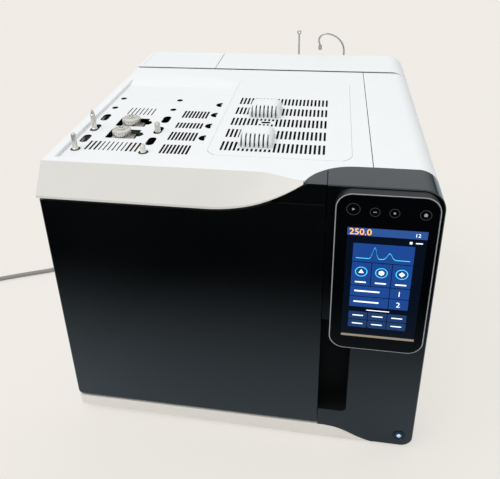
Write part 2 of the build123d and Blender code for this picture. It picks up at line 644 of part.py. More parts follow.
with BuildPart() as upper_trim:
    with BuildSketch(facing(FACE + TRIM_TOP_D)):
        with BuildLine():
            Polyline((TRIM_X0, TRIM_STEP), (DOOR_X, TRIM_STEP), (DOOR_X, DECK_Z), (TIP_X + 2, DECK_Z))
            Line((TIP_X + 2, DECK_Z), (TIP_X + 1, DECK_Z - 2))
            ThreePointArc((TIP_X + 1, DECK_Z - 2), (TIP_X - 16, swoosh_z(TIP_X - 16, FIT * 2)),
                          (TRIM_X0, TRIM_STEP))
        make_face()
    extrude(amount=TRIM_TOP_D)
    # black shelf that carries the trim back under and beside the deck's round edge
    with BuildSketch(level(DECK_Z - DECK_T)):
        with BuildLine():
            Line((TIP_X + 2, FACE + 4), (DOOR_X, FACE + 4))
            Line((DOOR_X, FACE + 4), (DOOR_X, arc_y(DOOR_X, FIT * 2)))
            ThreePointArc((DOOR_X, arc_y(DOOR_X, FIT * 2)), (TIP_X + 14, arc_y(TIP_X + 14, FIT * 2)),
                          (TIP_X + 2, arc_y(TIP_X + 2, FIT * 2)))
            Line((TIP_X + 2, arc_y(TIP_X + 2, FIT * 2)), (TIP_X + 2, FACE + 4))
        make_face()
    extrude(amount=DECK_T)
    with BuildSketch(level(DECK_Z - FASCIA_H)):
        with BuildLine():
            Polyline((SWOOSH_X, FRONT + FASCIA_D + 2), (SWEEP_X, FRONT + FASCIA_D + 2),
                     (TIP_X, FRONT + TIP_D), (TIP_X + 1.4, arc_y(TIP_X + 1.4)),
                     (ARC_X - 50, arc_y(ARC_X - 50)), (DOOR_X + 1, arc_y(DOOR_X + 1)),
                     (DOOR_X + 1, HEAD_BACK), (SWOOSH_X, HEAD_BACK), close=True)
        make_face()
    extrude(amount=FASCIA_H, mode=Mode.SUBTRACT)
save(upper_trim, "upper_trim")

with BuildPart() as front_panel:
    with BuildSketch(facing(HEAD_BACK)):
        with BuildLine():
            Line((HEAD_X, DECK_Z), (RIGHT - HEAD_TOP_R, DECK_Z))
            RadiusArc((RIGHT - HEAD_TOP_R, DECK_Z), (RIGHT, DECK_Z - HEAD_TOP_R), HEAD_TOP_R)
            Line((RIGHT, DECK_Z - HEAD_TOP_R), (RIGHT, HEAD_FOOT + HEAD_LOW_R))
            RadiusArc((RIGHT, HEAD_FOOT + HEAD_LOW_R), (RIGHT - HEAD_LOW_R, HEAD_FOOT), HEAD_LOW_R)
            Line((RIGHT - HEAD_LOW_R, HEAD_FOOT), (SWEEP_END_X + FIT, HEAD_FOOT))
            Bezier((SWEEP_END_X + FIT, HEAD_FOOT), (SWEEP_END_X - 35, HEAD_FOOT + 7),
                   (SWEEP_TOP_X + 38, TRIM_Z + FIT), (SWEEP_TOP_X, TRIM_Z + FIT))
            Line((SWEEP_TOP_X, TRIM_Z + FIT), (HEAD_X, TRIM_Z + FIT))
            Line((HEAD_X, TRIM_Z + FIT), (HEAD_X, DECK_Z))
        make_face()
    extrude(amount=HEAD_DEPTH)
    chamfer(front_panel.faces().sort_by(Axis.Y)[0].edges().sort_by(Axis.Z)[-1], 1.2)
    with BuildSketch(facing(HEAD_BACK)) as head_hollow:
        panel(HEAD_X + MOULD_T, RIGHT - MOULD_T, TRIM_Z + MOULD_T, DECK_Z - MOULD_T)
        fillet(head_hollow.vertices().group_by(Axis.X)[-1], HEAD_TOP_R - MOULD_T)
    extrude(amount=HEAD_DEPTH - FACE_T, mode=Mode.SUBTRACT)
    block(HEAD_X, RIGHT, FRAME_FACE, HEAD_BACK, HEAD_FOOT, TRIM_Z + MOULD_T, mode=Mode.SUBTRACT)
    # finger recess, open to the door's edge
    block(HEAD_X, HEAD_X + RECESS_W + MOULD_T, FACE, FACE + RECESS_D + MOULD_T, RECESS_Z0 - MOULD_T,
          RECESS_Z1 + MOULD_T)
    with BuildSketch(facing(FACE + RECESS_D)) as recess:
        panel(HEAD_X, HEAD_X + RECESS_W, RECESS_Z0, RECESS_Z1)
        fillet(recess.vertices().group_by(Axis.X)[-1], RECESS_R)
    extrude(amount=RECESS_D, mode=Mode.SUBTRACT)
    # round corner of the deck, seen from above
    with BuildSketch(level(HEAD_FOOT)):
        with BuildLine():
            Line((HEAD_X, arc_y(HEAD_X, FIT)), (HEAD_X, HEAD_BACK))
            Line((HEAD_X, HEAD_BACK), (ARC_X, HEAD_BACK))
            ThreePointArc((ARC_X, HEAD_BACK - FIT), (ARC_X - 15, arc_y(ARC_X - 15, FIT)),
                          (HEAD_X, arc_y(HEAD_X, FIT)))
            Line((ARC_X, HEAD_BACK), (ARC_X, HEAD_BACK - FIT))
        make_face()
    extrude(amount=DECK_Z, mode=Mode.SUBTRACT)
    rod_y(POWER_X, POWER_Z, FACE, FRAME_FACE, POWER_R + FIT, mode=Mode.SUBTRACT)
save(front_panel, "front_panel")

with BuildPart() as power_button:
    rod_y(POWER_X, POWER_Z, FACE - 1.0, FACE + 8, POWER_R)
    rod_y(POWER_X, POWER_Z, FACE - 1.0, FACE - 0.4, POWER_R - 2.2, mode=Mode.SUBTRACT)
save(power_button, "power_button")

with BuildPart() as power_lamp:
    rod_y(POWER_X, POWER_Z, FACE - 0.9, FACE - 0.4, LAMP_R)
save(power_lamp, "power_lamp")

# ---------------------------------------------------------------- console
GLASS_T = 1.6
GLASS_IN = RIM_W + FIT / 2
RIM_SET = 0.6
RIM_D = 3.0
SCREEN_X0 = CON_L + 15.5
SCREEN_X1 = CON_R - 12.0
SCREEN_Z0 = CON_B + 22.0
SCREEN_Z1 = CON_T - 45.8
SCREEN_SET = 0.2
KEY_Z = CON_T - 22.8
KEYS = [("start_key", CON_L + 20.7, KEY_Z + 2.5, 8.5), ("prep_key", CON_L + 45.6, KEY_Z, 6.4),
        ("stop_key", CON_L + 67.9, KEY_Z, 6.4), ("home_key", CON_R - 17.3, KEY_Z, 7.0)]
KEY_T = 2.6
BODY_Y = GLASS_Y + RIM_SET + RIM_D

with BuildPart() as console_body:
    with BuildSketch(facing(FACE)) as body_outline:
        panel(CON_L, CON_R, CON_B, CON_T)
        fillet(body_outline.vertices(), CONSOLE_R)
    extrude(amount=FACE - BODY_Y)
save(console_body, "console_body")

with BuildPart() as console_rim:
    with BuildSketch(facing(BODY_Y)) as rim_outline:
        panel(CON_L, CON_R, CON_B, CON_T)
        fillet(rim_outline.vertices(), CONSOLE_R)
        offset(amount=-RIM_W, mode=Mode.SUBTRACT)
    extrude(amount=RIM_D)
save(console_rim, "console_rim")

with BuildPart() as console_glass:
    with BuildSketch(facing(GLASS_Y + GLASS_T)) as glass_outline:
        panel(CON_L + GLASS_IN, CON_R - GLASS_IN, CON_B + GLASS_IN, CON_T - GLASS_IN)
        fillet(glass_outline.vertices(), CONSOLE_R - RIM_W)
    extrude(amount=GLASS_T)
    with BuildSketch(facing(BODY_Y)) as glass_backing:
        panel(CON_L + GLASS_IN, CON_R - GLASS_IN, CON_B + GLASS_IN, CON_T - GLASS_IN)
        fillet(glass_backing.vertices(), CONSOLE_R - RIM_W)
        panel(CON_L + 8, CON_R - 8, CON_B + 10, CON_T - 8)
    extrude(amount=BODY_Y - GLASS_Y - GLASS_T)
    block(CON_L + 8, CON_R - 8, GLASS_Y + GLASS_T, BODY_Y, CON_B + 10, CON_T - 8, mode=Mode.SUBTRACT)
    for _, key_x, key_z, key_r in KEYS:
        rod_y(key_x, key_z, GLASS_Y, GLASS_Y + GLASS_T, key_r + FIT / 2, mode=Mode.SUBTRACT)
    block(SCREEN_X0 - FIT / 2, SCREEN_X1 + FIT / 2, GLASS_Y, GLASS_Y + GLASS_T, SCREEN_Z0 - FIT / 2,
          SCREEN_Z1 + FIT / 2, mode=Mode.SUBTRACT)
save(console_glass, "console_glass")

with BuildPart() as display_panel:
    block(SCREEN_X0, SCREEN_X1, GLASS_Y + SCREEN_SET, BODY_Y, SCREEN_Z0, SCREEN_Z1)
save(display_panel, "display_panel")

for label, key_x, key_z, key_r in KEYS:
    with BuildPart() as console_key:
        rod_y(key_x, key_z, GLASS_Y - 0.3, GLASS_Y + KEY_T - 0.3, key_r - FIT / 2)
        rod_y(key_x, key_z, GLASS_Y + GLASS_T + 0.1, GLASS_Y + KEY_T - 0.3, key_r + 0.8)
    save(console_key, label)

# ---------------------------------------------------------------- oven door
DOOR_WALL = 3.0
BACKPLATE_T = 2.0
DOOR_HUB_X = HINGE_PX + HINGE_HUB
PLUG_T = 1.2
PLUG_BACK = OVEN_Y0 - 2.0
HUB_H = PIN_LEN + 6.0

with BuildPart() as door_outer:
    with BuildSketch(facing(DOOR_BACK)) as door_outline:
        with BuildLine():
            Polyline((SWOOSH_X, DOOR_TOP), (LEFT, DOOR_TOP), (LEFT, DOOR_Z), (DOOR_X, DOOR_Z),
                     (DOOR_X, DOOR_STEP), (swoosh_x(DOOR_STEP, SWOOSH_GAP), DOOR_STEP))
            ThreePointArc((swoosh_x(DOOR_STEP, SWOOSH_GAP), DOOR_STEP),
                          (SWEEP_X - 20, swoosh_z(SWEEP_X - 20, SWOOSH_GAP)), (SWOOSH_X, DOOR_TOP))
        make_face()
        fillet(door_outline.vertices().group_by(Axis.Z)[0].sort_by(Axis.X)[0], DOOR_CORNER_R)
    extrude(amount=DOOR_T)
    fillet(door_outer.edges().filter_by(Axis.Z).group_by(Axis.X)[0].sort_by(Axis.Y)[0], DOOR_EDGE_R)
    with BuildSketch(facing(DOOR_BACK)):
        panel(DOOR_HUB_X, DOOR_X - DOOR_WALL, DOOR_Z + DOOR_WALL, DOOR_TOP - DOOR_WALL)
        panel(LEFT + DOOR_CORNER_R, DOOR_HUB_X, DOOR_Z + HUB_H, DOOR_TOP - HUB_H)
    extrude(amount=DOOR_T - DOOR_WALL, mode=Mode.SUBTRACT)
    rod_z(HINGE_PX, HINGE_PY, DOOR_Z, DOOR_Z + PIN_LEN + 1, PIN_R + RUN_FIT, mode=Mode.SUBTRACT)
    rod_z(HINGE_PX, HINGE_PY, DOOR_TOP - PIN_LEN - 1, DOOR_TOP, PIN_R + RUN_FIT, mode=Mode.SUBTRACT)
save(door_outer, "door_outer")

with BuildPart() as door_back_plate:
    block(DOOR_HUB_X + FIT, DOOR_X - DOOR_WALL - FIT, DOOR_BACK - BACKPLATE_T, DOOR_BACK,
          DOOR_Z + DOOR_WALL + FIT, DOOR_TOP - DOOR_WALL - FIT)
save(door_back_plate, "door_back_plate")

with BuildPart() as door_plug:
    block(OVEN_X0 + PLUG_GAP, OVEN_X1 - PLUG_GAP, DOOR_BACK, PLUG_BACK, OVEN_FLOOR + PLUG_GAP, OVEN_Z1 - PLUG_GAP)
    fillet(door_plug.edges().filter_by(Axis.Y), 6)
    fillet(door_plug.faces().sort_by(Axis.Y)[-1].edges(), 3)
    block(OVEN_X0 + PLUG_GAP + PLUG_T, OVEN_X1 - PLUG_GAP - PLUG_T, DOOR_BACK, PLUG_BACK - PLUG_T,
          OVEN_FLOOR + PLUG_GAP + PLUG_T, OVEN_Z1 - PLUG_GAP - PLUG_T, mode=Mode.SUBTRACT)
save(door_plug, "door_plug")

WOOL_IN_DOOR = PLUG_GAP + PLUG_T + 4
with BuildPart() as door_insulation:
    block(OVEN_X0 + WOOL_IN_DOOR, OVEN_X1 - WOOL_IN_DOOR, DOOR_BACK, PLUG_BACK - PLUG_T - FIT,
          OVEN_FLOOR + WOOL_IN_DOOR, OVEN_Z1 - WOOL_IN_DOOR)
save(door_insulation, "door_insulation")

with BuildPart() as door_gasket:
    with BuildSketch(facing(FRAME_FACE - FIT)):
        panel(OVEN_X0 - GASKET_W - LEDGE, OVEN_X1 + GASKET_W + LEDGE, OVEN_FLOOR - GASKET_W - LEDGE,
              OVEN_Z1 + GASKET_W + LEDGE)
    extrude(amount=FRAME_FACE - FIT - DOOR_BACK)
    fillet(door_gasket.edges().filter_by(Axis.Y), 12)
    block(OVEN_X0 - LEDGE, OVEN_X1 + LEDGE, DOOR_BACK, FRAME_FACE, OVEN_FLOOR - LEDGE, OVEN_Z1 + LEDGE,
          mode=Mode.SUBTRACT)
save(door_gasket, "door_gasket")

# hinge leaves on the chassis, above and below the door, each with its pin
LEAF_T = 3.0
LEAF_END = FRAME_FACE + 14.0
with BuildPart() as door_hinges:
    for leaf_z, pin_z0, pin_z1 in ((TRIM_Z - MOULD_T - LEAF_T, TRIM_Z - MOULD_T - LEAF_T, DOOR_Z + PIN_LEN),
                                   (SWOOSH_Z + MOULD_T, DOOR_TOP - PIN_LEN, SWOOSH_Z + MOULD_T + LEAF_T)):
        block(HINGE_PX - PIN_R, HINGE_PX + 22, HINGE_PY - 5, LEAF_END, leaf_z, leaf_z + LEAF_T)
        rod_z(HINGE_PX, HINGE_PY, pin_z0, pin_z1, PIN_R)
save(door_hinges, "door_hinges")

# ---------------------------------------------------------------- oven box
FRAME_T = 2.0
FRAME_SIDE = 6.0
LINER_F = FRAME_FACE + FRAME_T
DUCT_W = 60.0
DUCT_H = 40.0
DUCT_T = 1.5
DUCT_CX = OVEN_X0 + 40.0
DUCT_CZ = OVEN_Z1 - 65.0
SHAFT_R = 4.0
SHAFT_HOLE = 7.0


def top_openings(gap):
    """Cuts the ports' and detectors' holes through the oven's roof, and the duct and shaft holes at its back."""
    for step in (0, 1):
        rod_z(PORT_CX - 2, PORT_FY + step * PORT_PITCH, OVEN_CZ, DECK_Z, PORT_R + gap, mode=Mode.SUBTRACT)
        rod_z(HOOD_X, HOOD_FY + step * HOOD_PITCH, OVEN_CZ, DECK_Z, DET_BODY_R + gap, mode=Mode.SUBTRACT)
    rod_y(OVEN_CX, OVEN_CZ, OVEN_Y1, BACK, SHAFT_HOLE, mode=Mode.SUBTRACT)
    block(DUCT_CX - DUCT_W / 2 + DUCT_T, DUCT_CX + DUCT_W / 2 - DUCT_T, OVEN_Y1, BACK,
          DUCT_CZ - DUCT_H / 2 + DUCT_T, DUCT_CZ + DUCT_H / 2 - DUCT_T, mode=Mode.SUBTRACT)


with BuildPart() as oven_front_frame:
    with BuildSketch(facing(LINER_F)) as frame_outline:
        panel(LEFT + FRAME_SIDE, PARTITION_X - FIT, TRIM_Z + FRAME_SIDE, SWOOSH_Z - FRAME_T)
        with Locations((OVEN_CX, OVEN_CZ)):
            Rectangle(OVEN_X1 - OVEN_X0, OVEN_Z1 - OVEN_FLOOR, mode=Mode.SUBTRACT)
    extrude(amount=FRAME_T)
save(oven_front_frame, "oven_front_frame")

with BuildPart() as oven_liner:
    block(OVEN_X0 - LINER_T, OVEN_X1 + LINER_T, LINER_F, LINER_BACK + LINER_T, OVEN_FLOOR - LINER_T,
          OVEN_Z1 + LINER_T)
    block(OVEN_X0, OVEN_X1, LINER_F, LINER_BACK, OVEN_FLOOR, OVEN_Z1, mode=Mode.SUBTRACT)
    top_openings(FIT)
save(oven_liner, "oven_liner")

with BuildPart() as oven_insulation:
    block(OVEN_X0 - WOOL_OUT, OVEN_X1 + WOOL_OUT, LINER_F + FIT, LINER_BACK + WOOL_OUT, OVEN_FLOOR - WOOL_OUT,
          OVEN_Z1 + WOOL_OUT)
    block(OVEN_X0 - WOOL_IN, OVEN_X1 + WOOL_IN, LINER_F, LINER_BACK + WOOL_IN, OVEN_FLOOR - WOOL_IN,
          OVEN_Z1 + WOOL_IN, mode=Mode.SUBTRACT)
    top_openings(FIT)
save(oven_insulation, "oven_insulation")

with BuildPart() as oven_outer_shell:
    block(OVEN_X0 - SHELL_OUT, OVEN_X1 + SHELL_OUT, LINER_F, SHELL_BACK, OVEN_FLOOR - SHELL_OUT,
          OVEN_Z1 + SHELL_OUT)
    block(OVEN_X0 - SHELL_IN, OVEN_X1 + SHELL_IN, LINER_F, SHELL_BACK - SHELL_T, OVEN_FLOOR - SHELL_IN,
          OVEN_Z1 + SHELL_IN, mode=Mode.SUBTRACT)
    top_openings(FIT)
save(oven_outer_shell, "oven_outer_shell")

# ---------------------------------------------------------------- inside the oven
BAFFLE_T = 1.2
BAFFLE_HOLE_R = 52.0
FAN_R = 78.0
FAN_HUB_R = 14.0
FAN_W = 10.0
FAN_Y0 = OVEN_Y1 + 10.0
HEATER_R = 92.0
HEATER_WIRE = 2.2
MOTOR_R = 42.0
MOTOR_L = 56.0
SHAFT_IN = 20.0

with BuildPart() as oven_baffle:
    with BuildSketch(facing(OVEN_Y1 + BAFFLE_T)):
        with Locations((OVEN_CX, OVEN_CZ)):
            Rectangle(OVEN_X1 - OVEN_X0 - 2 * FIT, OVEN_Z1 - OVEN_FLOOR - 2 * FIT)
            with PolarLocations(BAFFLE_HOLE_R / 2, 6):
                SlotOverall(34, 9, mode=Mode.SUBTRACT)
            with PolarLocations(BAFFLE_HOLE_R * 2.1, 16):
                SlotOverall(24, 8, rotation=90, mode=Mode.SUBTRACT)
    extrude(amount=BAFFLE_T)
save(oven_baffle, "oven_baffle")

with BuildPart() as heater_coil:
    with BuildSketch(Plane((OVEN_CX + HEATER_R, FAN_Y0 + FAN_W / 2, OVEN_CZ), x_dir=(1, 0, 0), z_dir=(0, 0, 1))):
        Circle(HEATER_WIRE)
    revolve(axis=Axis((OVEN_CX, 0, OVEN_CZ), (0, 1, 0)))
    for side_x, side_z in ((0, 1), (1, 0), (0, -1), (-1, 0)):
        rod_y(OVEN_CX + side_x * HEATER_R, OVEN_CZ + side_z * HEATER_R, FAN_Y0 + FAN_W / 2, LINER_BACK, HEATER_WIRE)
save(heater_coil, "heater_coil")

with BuildPart() as oven_fan:
    rod_y(OVEN_CX, OVEN_CZ, FAN_Y0, FAN_Y0 + FAN_W, FAN_HUB_R)
    rod_y(OVEN_CX, OVEN_CZ, FAN_Y0, SHELL_BACK + FRAME_T + SHAFT_IN, SHAFT_R)
    with BuildSketch(facing(FAN_Y0 + FAN_W)):
        with Locations((OVEN_CX, OVEN_CZ)):
            with PolarLocations((FAN_R + FAN_HUB_R - 4) / 2, 8):
                Rectangle(FAN_R - FAN_HUB_R + 4, 2)
    extrude(amount=FAN_W)
    with BuildSketch(facing(FAN_Y0 + FAN_W)):
        with Locations((OVEN_CX, OVEN_CZ)):
            Circle(FAN_R - 8)
    extrude(amount=1.5)
save(oven_fan, "oven_fan")

with BuildPart() as fan_motor:
    with BuildSketch(facing(SHELL_BACK + FRAME_T)):
        with Locations((OVEN_CX, OVEN_CZ)):
            RectangleRounded(2 * MOTOR_R + 12, 2 * MOTOR_R + 12, 8)
    extrude(amount=FRAME_T)
    rod_y(OVEN_CX, OVEN_CZ, SHELL_BACK + FRAME_T, SHELL_BACK + FRAME_T + MOTOR_L, MOTOR_R)
    fillet(fan_motor.edges().group_by(Axis.Y)[-1], 4)
    rod_y(OVEN_CX, OVEN_CZ, SHELL_BACK, SHELL_BACK + FRAME_T + SHAFT_IN + 2, SHAFT_R + RUN_FIT, mode=Mode.SUBTRACT)
save(fan_motor, "fan_motor")

CAGE_R = 92.0
CAGE_Y = OVEN_Y1 - 46.0
CAGE_W = 30.0
COLUMN_R = 86.0
COLUMN_T = 5.0
CAGE_WIRE = 2.0
with BuildPart() as capillary_column:
    with BuildSketch(facing(CAGE_Y + CAGE_W / 2 - 5)):
        with Locations((OVEN_CX, OVEN_CZ)):
            Circle(COLUMN_R)
            Circle(COLUMN_R - COLUMN_T, mode=Mode.SUBTRACT)
    extrude(amount=CAGE_W - 10)
save(capillary_column, "capillary_column")

with BuildPart() as column_cage:
    for ring_y in (CAGE_Y - CAGE_W / 2, CAGE_Y + CAGE_W / 2):
        with BuildSketch(Plane((OVEN_CX + CAGE_R, ring_y, OVEN_CZ), x_dir=(1, 0, 0), z_dir=(0, 0, 1))):
            Circle(CAGE_WIRE)
        revolve(axis=Axis((OVEN_CX, 0, OVEN_CZ), (0, 1, 0)))
    with BuildSketch(facing(CAGE_Y + CAGE_W / 2)):
        with Locations((OVEN_CX, OVEN_CZ)):
            with PolarLocations(CAGE_R, 6):
                Circle(CAGE_WIRE)
            with PolarLocations(COLUMN_R - COLUMN_T - CAGE_WIRE - FIT, 6):
                Circle(CAGE_WIRE)
    extrude(amount=CAGE_W)
    with BuildSketch(facing(CAGE_Y + CAGE_W / 2 + CAGE_WIRE / 2)):
        with Locations((OVEN_CX, OVEN_CZ)):
            with PolarLocations(CAGE_R / 2, 6):
                Rectangle(CAGE_R, 3)
            Circle(10)
    extrude(amount=CAGE_WIRE)
    # hanger arms that hook the cage on the baffle
    for side in (-1, 1):
        rod_y(OVEN_CX + side * CAGE_R / 2, OVEN_CZ, CAGE_Y + CAGE_W / 2, OVEN_Y1, CAGE_WIRE)
save(column_cage, "column_cage")

# ---------------------------------------------------------------- exhaust duct with its flap
FLAP_ROD = 1.5
FLAP_Y = SHELL_BACK + 12.0
FLAP_Z = DUCT_CZ + DUCT_H / 2 - DUCT_T - 3.0
FLAP_GAP = 0.8
with BuildPart() as exhaust_duct:
    block(DUCT_CX - DUCT_W / 2, DUCT_CX + DUCT_W / 2, SHELL_BACK, BACK - SHEET, DUCT_CZ - DUCT_H / 2,
          DUCT_CZ + DUCT_H / 2)
    block(DUCT_CX - DUCT_W / 2 + DUCT_T, DUCT_CX + DUCT_W / 2 - DUCT_T, SHELL_BACK, BACK - SHEET,
          DUCT_CZ - DUCT_H / 2 + DUCT_T, DUCT_CZ + DUCT_H / 2 - DUCT_T, mode=Mode.SUBTRACT)
    rod_x(DUCT_CX - DUCT_W / 2, DUCT_CX + DUCT_W / 2, FLAP_Y, FLAP_Z, FLAP_ROD + RUN_FIT, mode=Mode.SUBTRACT)
save(exhaust_duct, "exhaust_duct")

with BuildPart() as exhaust_flap:
    rod_x(DUCT_CX - DUCT_W / 2 - 1, DUCT_CX + DUCT_W / 2 + 1, FLAP_Y, FLAP_Z, FLAP_ROD)
    block(DUCT_CX - DUCT_W / 2 + DUCT_T + FLAP_GAP, DUCT_CX + DUCT_W / 2 - DUCT_T - FLAP_GAP, FLAP_Y - 0.6,
          FLAP_Y + 0.6, DUCT_CZ - DUCT_H / 2 + DUCT_T + FLAP_GAP, FLAP_Z)
save(exhaust_flap, "exhaust_flap")

# ---------------------------------------------------------------- electronics bay
BOARD_T = 1.6
BOARD_OFF = 6.0
BOARD_X = PARTITION_X + SHEET + BOARD_OFF
BOARD_Y0 = HEAD_BACK + 40.0
BOARD_Y1 = SEAM_Y - 10.0
BOARD_Z0 = 110.0
BOARD_Z1 = DECK_Z - 90.0
BOARD_PART_T = 8.0
BOARD_PARTS = ((60, 60, 36, 36), (130, 150, 24, 40), (200, 90, 50, 22), (250, 170, 30, 30))
SUPPLY_X0 = PARTITION_X + 30.0
SUPPLY_X1 = RIGHT - 20.0
SUPPLY_Y0 = SEAM_Y - 130.0
SUPPLY_Y1 = SEAM_Y + 50.0
SUPPLY_Z = PAN_Z + SHEET
SUPPLY_H = 62.0
FAN2_X = RIGHT - 75.0
FAN2_Z = 200.0
FAN2_S = 80.0
FAN2_T = 25.0
FAN2_R = 36.0
FAN2_Y = BACK - SHEET - FAN2_T

with BuildPart() as main_board:
    block(BOARD_X, BOARD_X + BOARD_T, BOARD_Y0, BOARD_Y1, BOARD_Z0, BOARD_Z1)
    for post_y in (BOARD_Y0 + 8, BOARD_Y1 - 8):
        for post_z in (BOARD_Z0 + 8, BOARD_Z1 - 8):
            rod_x(PARTITION_X + SHEET, BOARD_X, post_y, post_z, 3)
    for part_y, part_z, part_w, part_h in BOARD_PARTS:
        block(BOARD_X + BOARD_T, BOARD_X + BOARD_T + BOARD_PART_T, BOARD_Y0 + part_y, BOARD_Y0 + part_y + part_w,
              BOARD_Z0 + part_z, BOARD_Z0 + part_z + part_h)
save(main_board, "main_board")

with BuildPart() as power_supply:
    block(SUPPLY_X0, SUPPLY_X1, SUPPLY_Y0, SUPPLY_Y1, SUPPLY_Z, SUPPLY_Z + SUPPLY_H)
    fillet(power_supply.edges().filter_by(Axis.Y).group_by(Axis.Z)[-1], 2)
    block(SUPPLY_X0 + SHEET, SUPPLY_X1 - SHEET, SUPPLY_Y0 + SHEET, SUPPLY_Y1 - SHEET, SUPPLY_Z,
          SUPPLY_Z + SUPPLY_H - SHEET, mode=Mode.SUBTRACT)
    with BuildSketch(level(SUPPLY_Z + SUPPLY_H)):
        with Locations(((SUPPLY_X0 + SUPPLY_X1) / 2, (SUPPLY_Y0 + SUPPLY_Y1) / 2)):
            with GridLocations(12, 1, 7, 1):
                Rectangle(3, SUPPLY_Y1 - SUPPLY_Y0 - 60)
    extrude(amount=-SHEET, mode=Mode.SUBTRACT)
save(power_supply, "power_supply")

with BuildPart() as cooling_fan_housing:
    with BuildSketch(facing(BACK - SHEET)):
        with Locations((FAN2_X, FAN2_Z)):
            RectangleRounded(FAN2_S, FAN2_S, 5)
            Circle(FAN2_R + 1.5, mode=Mode.SUBTRACT)
    extrude(amount=FAN2_T)
    with BuildSketch(facing(BACK - SHEET)):
        with Locations((FAN2_X, FAN2_Z)):
            Circle(16)
            with PolarLocations(FAN2_R / 2 + 6, 3):
                Rectangle(FAN2_R + 4, 5)
            Circle(2.5 + RUN_FIT, mode=Mode.SUBTRACT)
    extrude(amount=4)
save(cooling_fan_housing, "cooling_fan_housing")

with BuildPart() as cooling_fan_rotor:
    rod_y(FAN2_X, FAN2_Z, FAN2_Y + 1, BACK - SHEET - 5, 16)
    rod_y(FAN2_X, FAN2_Z, FAN2_Y + 1, BACK - SHEET - 0.5, 2.5)
    with BuildSketch(facing(BACK - SHEET - 6)):
        with Locations((FAN2_X, FAN2_Z)):
            with PolarLocations((FAN2_R + 14) / 2, 7):
                Rectangle(FAN2_R - 14, 3, rotation=0)
    extrude(amount=FAN2_T - 9)
save(cooling_fan_rotor, "cooling_fan_rotor")

# ---------------------------------------------------------------- back: panel, covers, gas lines and gland
GLAND_X = LEFT + 42.0
GLAND_Z = 60.0
GAS_XS = (RIGHT - 207.5, RIGHT - 164.5, RIGHT - 116.5)
GAS_Z = DECK_Z - 40.0
GAS_R = 7.0
GAS_TUBE_R = 1.6
LINE_Y = BACK + REAR_OUT - 9.0
REAR_R = HEAD_TOP_R + REAR_STEP

with BuildPart() as rear_panel:
    with BuildSketch(facing(BACK)) as rear_outline:
        panel(LEFT + SHEET + FIT, RIGHT - SHEET - FIT, TRIM_FOOT, BAY_Z - FIT)
        with Locations((RIGHT - REAR_R / 2, REAR_TOP - REAR_R / 2)):
            Rectangle(REAR_R, REAR_R, mode=Mode.SUBTRACT)
        with Locations((RIGHT - REAR_R, REAR_TOP - REAR_R)):
            Circle(REAR_R - SHEET - FIT)
        with Locations((RIGHT - REAR_R, BAY_Z - FIT + REAR_R)):
            Rectangle(4 * REAR_R, 2 * REAR_R, mode=Mode.SUBTRACT)
        with Locations((DUCT_CX, DUCT_CZ)):
            with GridLocations(1, 7, 1, 5):
                Rectangle(DUCT_W - 8, 4, mode=Mode.SUBTRACT)
        with Locations((FAN2_X, FAN2_Z)):
            with PolarLocations(FAN2_R / 2 + 7, 16):
                SlotOverall(24, 4, mode=Mode.SUBTRACT)
        with Locations((OVEN_CX, OVEN_CZ - 70)):
            with GridLocations(16, 30, 12, 3):
                SlotOverall(22, 5, rotation=90, mode=Mode.SUBTRACT)
        with Locations((GLAND_X, GLAND_Z)):
            Circle(8, mode=Mode.SUBTRACT)
        for gas_x in GAS_XS:
            with Locations((gas_x, GAS_Z)):
                Circle(GAS_R - 2 + FIT, mode=Mode.SUBTRACT)
    extrude(amount=SHEET)
save(rear_panel, "rear_panel")

COVER_BACK_Z = BAY_Z
with BuildPart() as rear_left_cover:
    block(LEFT, LEFT + REAR_SPLIT, SEAM_Y + SEAM / 2, BACK, REAR_TOP - SHEET, REAR_TOP)
    block(LEFT, LEFT + SHEET, SEAM_Y + SEAM / 2, BACK, COVER_BACK_Z, REAR_TOP)
    block(LEFT, LEFT + REAR_SPLIT, BACK - SHEET, BACK, COVER_BACK_Z, REAR_TOP)
    with BuildSketch(level(REAR_TOP)):
        with Locations((LEFT + REAR_SPLIT / 2, (SEAM_Y + BACK) / 2)):
            RectangleRounded(REAR_SPLIT - 16, REAR_SEAM - 16, 3)
    extrude(amount=-1, mode=Mode.SUBTRACT)
save(rear_left_cover, "rear_left_cover")

with BuildPart() as rear_right_cover:
    with BuildSketch(facing(BACK)):
        with BuildLine():
            Line((LEFT + REAR_SPLIT + SEAM, REAR_TOP), (RIGHT - REAR_R, REAR_TOP))
            RadiusArc((RIGHT - REAR_R, REAR_TOP), (RIGHT, REAR_TOP - REAR_R), REAR_R)
            Line((RIGHT, REAR_TOP - REAR_R), (RIGHT, REAR_TOP - REAR_R + FIT))
            Line((RIGHT, REAR_TOP - REAR_R + FIT), (RIGHT - SHEET, REAR_TOP - REAR_R + FIT))
            RadiusArc((RIGHT - SHEET, REAR_TOP - REAR_R + FIT), (RIGHT - REAR_R, REAR_TOP - SHEET),
                      -REAR_R + SHEET)
            Line((RIGHT - REAR_R, REAR_TOP - SHEET), (LEFT + REAR_SPLIT + SEAM, REAR_TOP - SHEET))
            Line((LEFT + REAR_SPLIT + SEAM, REAR_TOP - SHEET), (LEFT + REAR_SPLIT + SEAM, REAR_TOP))
        make_face()
    extrude(amount=REAR_SEAM - SEAM / 2)
    block(LEFT + REAR_SPLIT + SEAM, RIGHT - REAR_R + 10, BACK - SHEET, BACK, COVER_BACK_Z, REAR_TOP - SHEET)
save(rear_right_cover, "rear_right_cover")

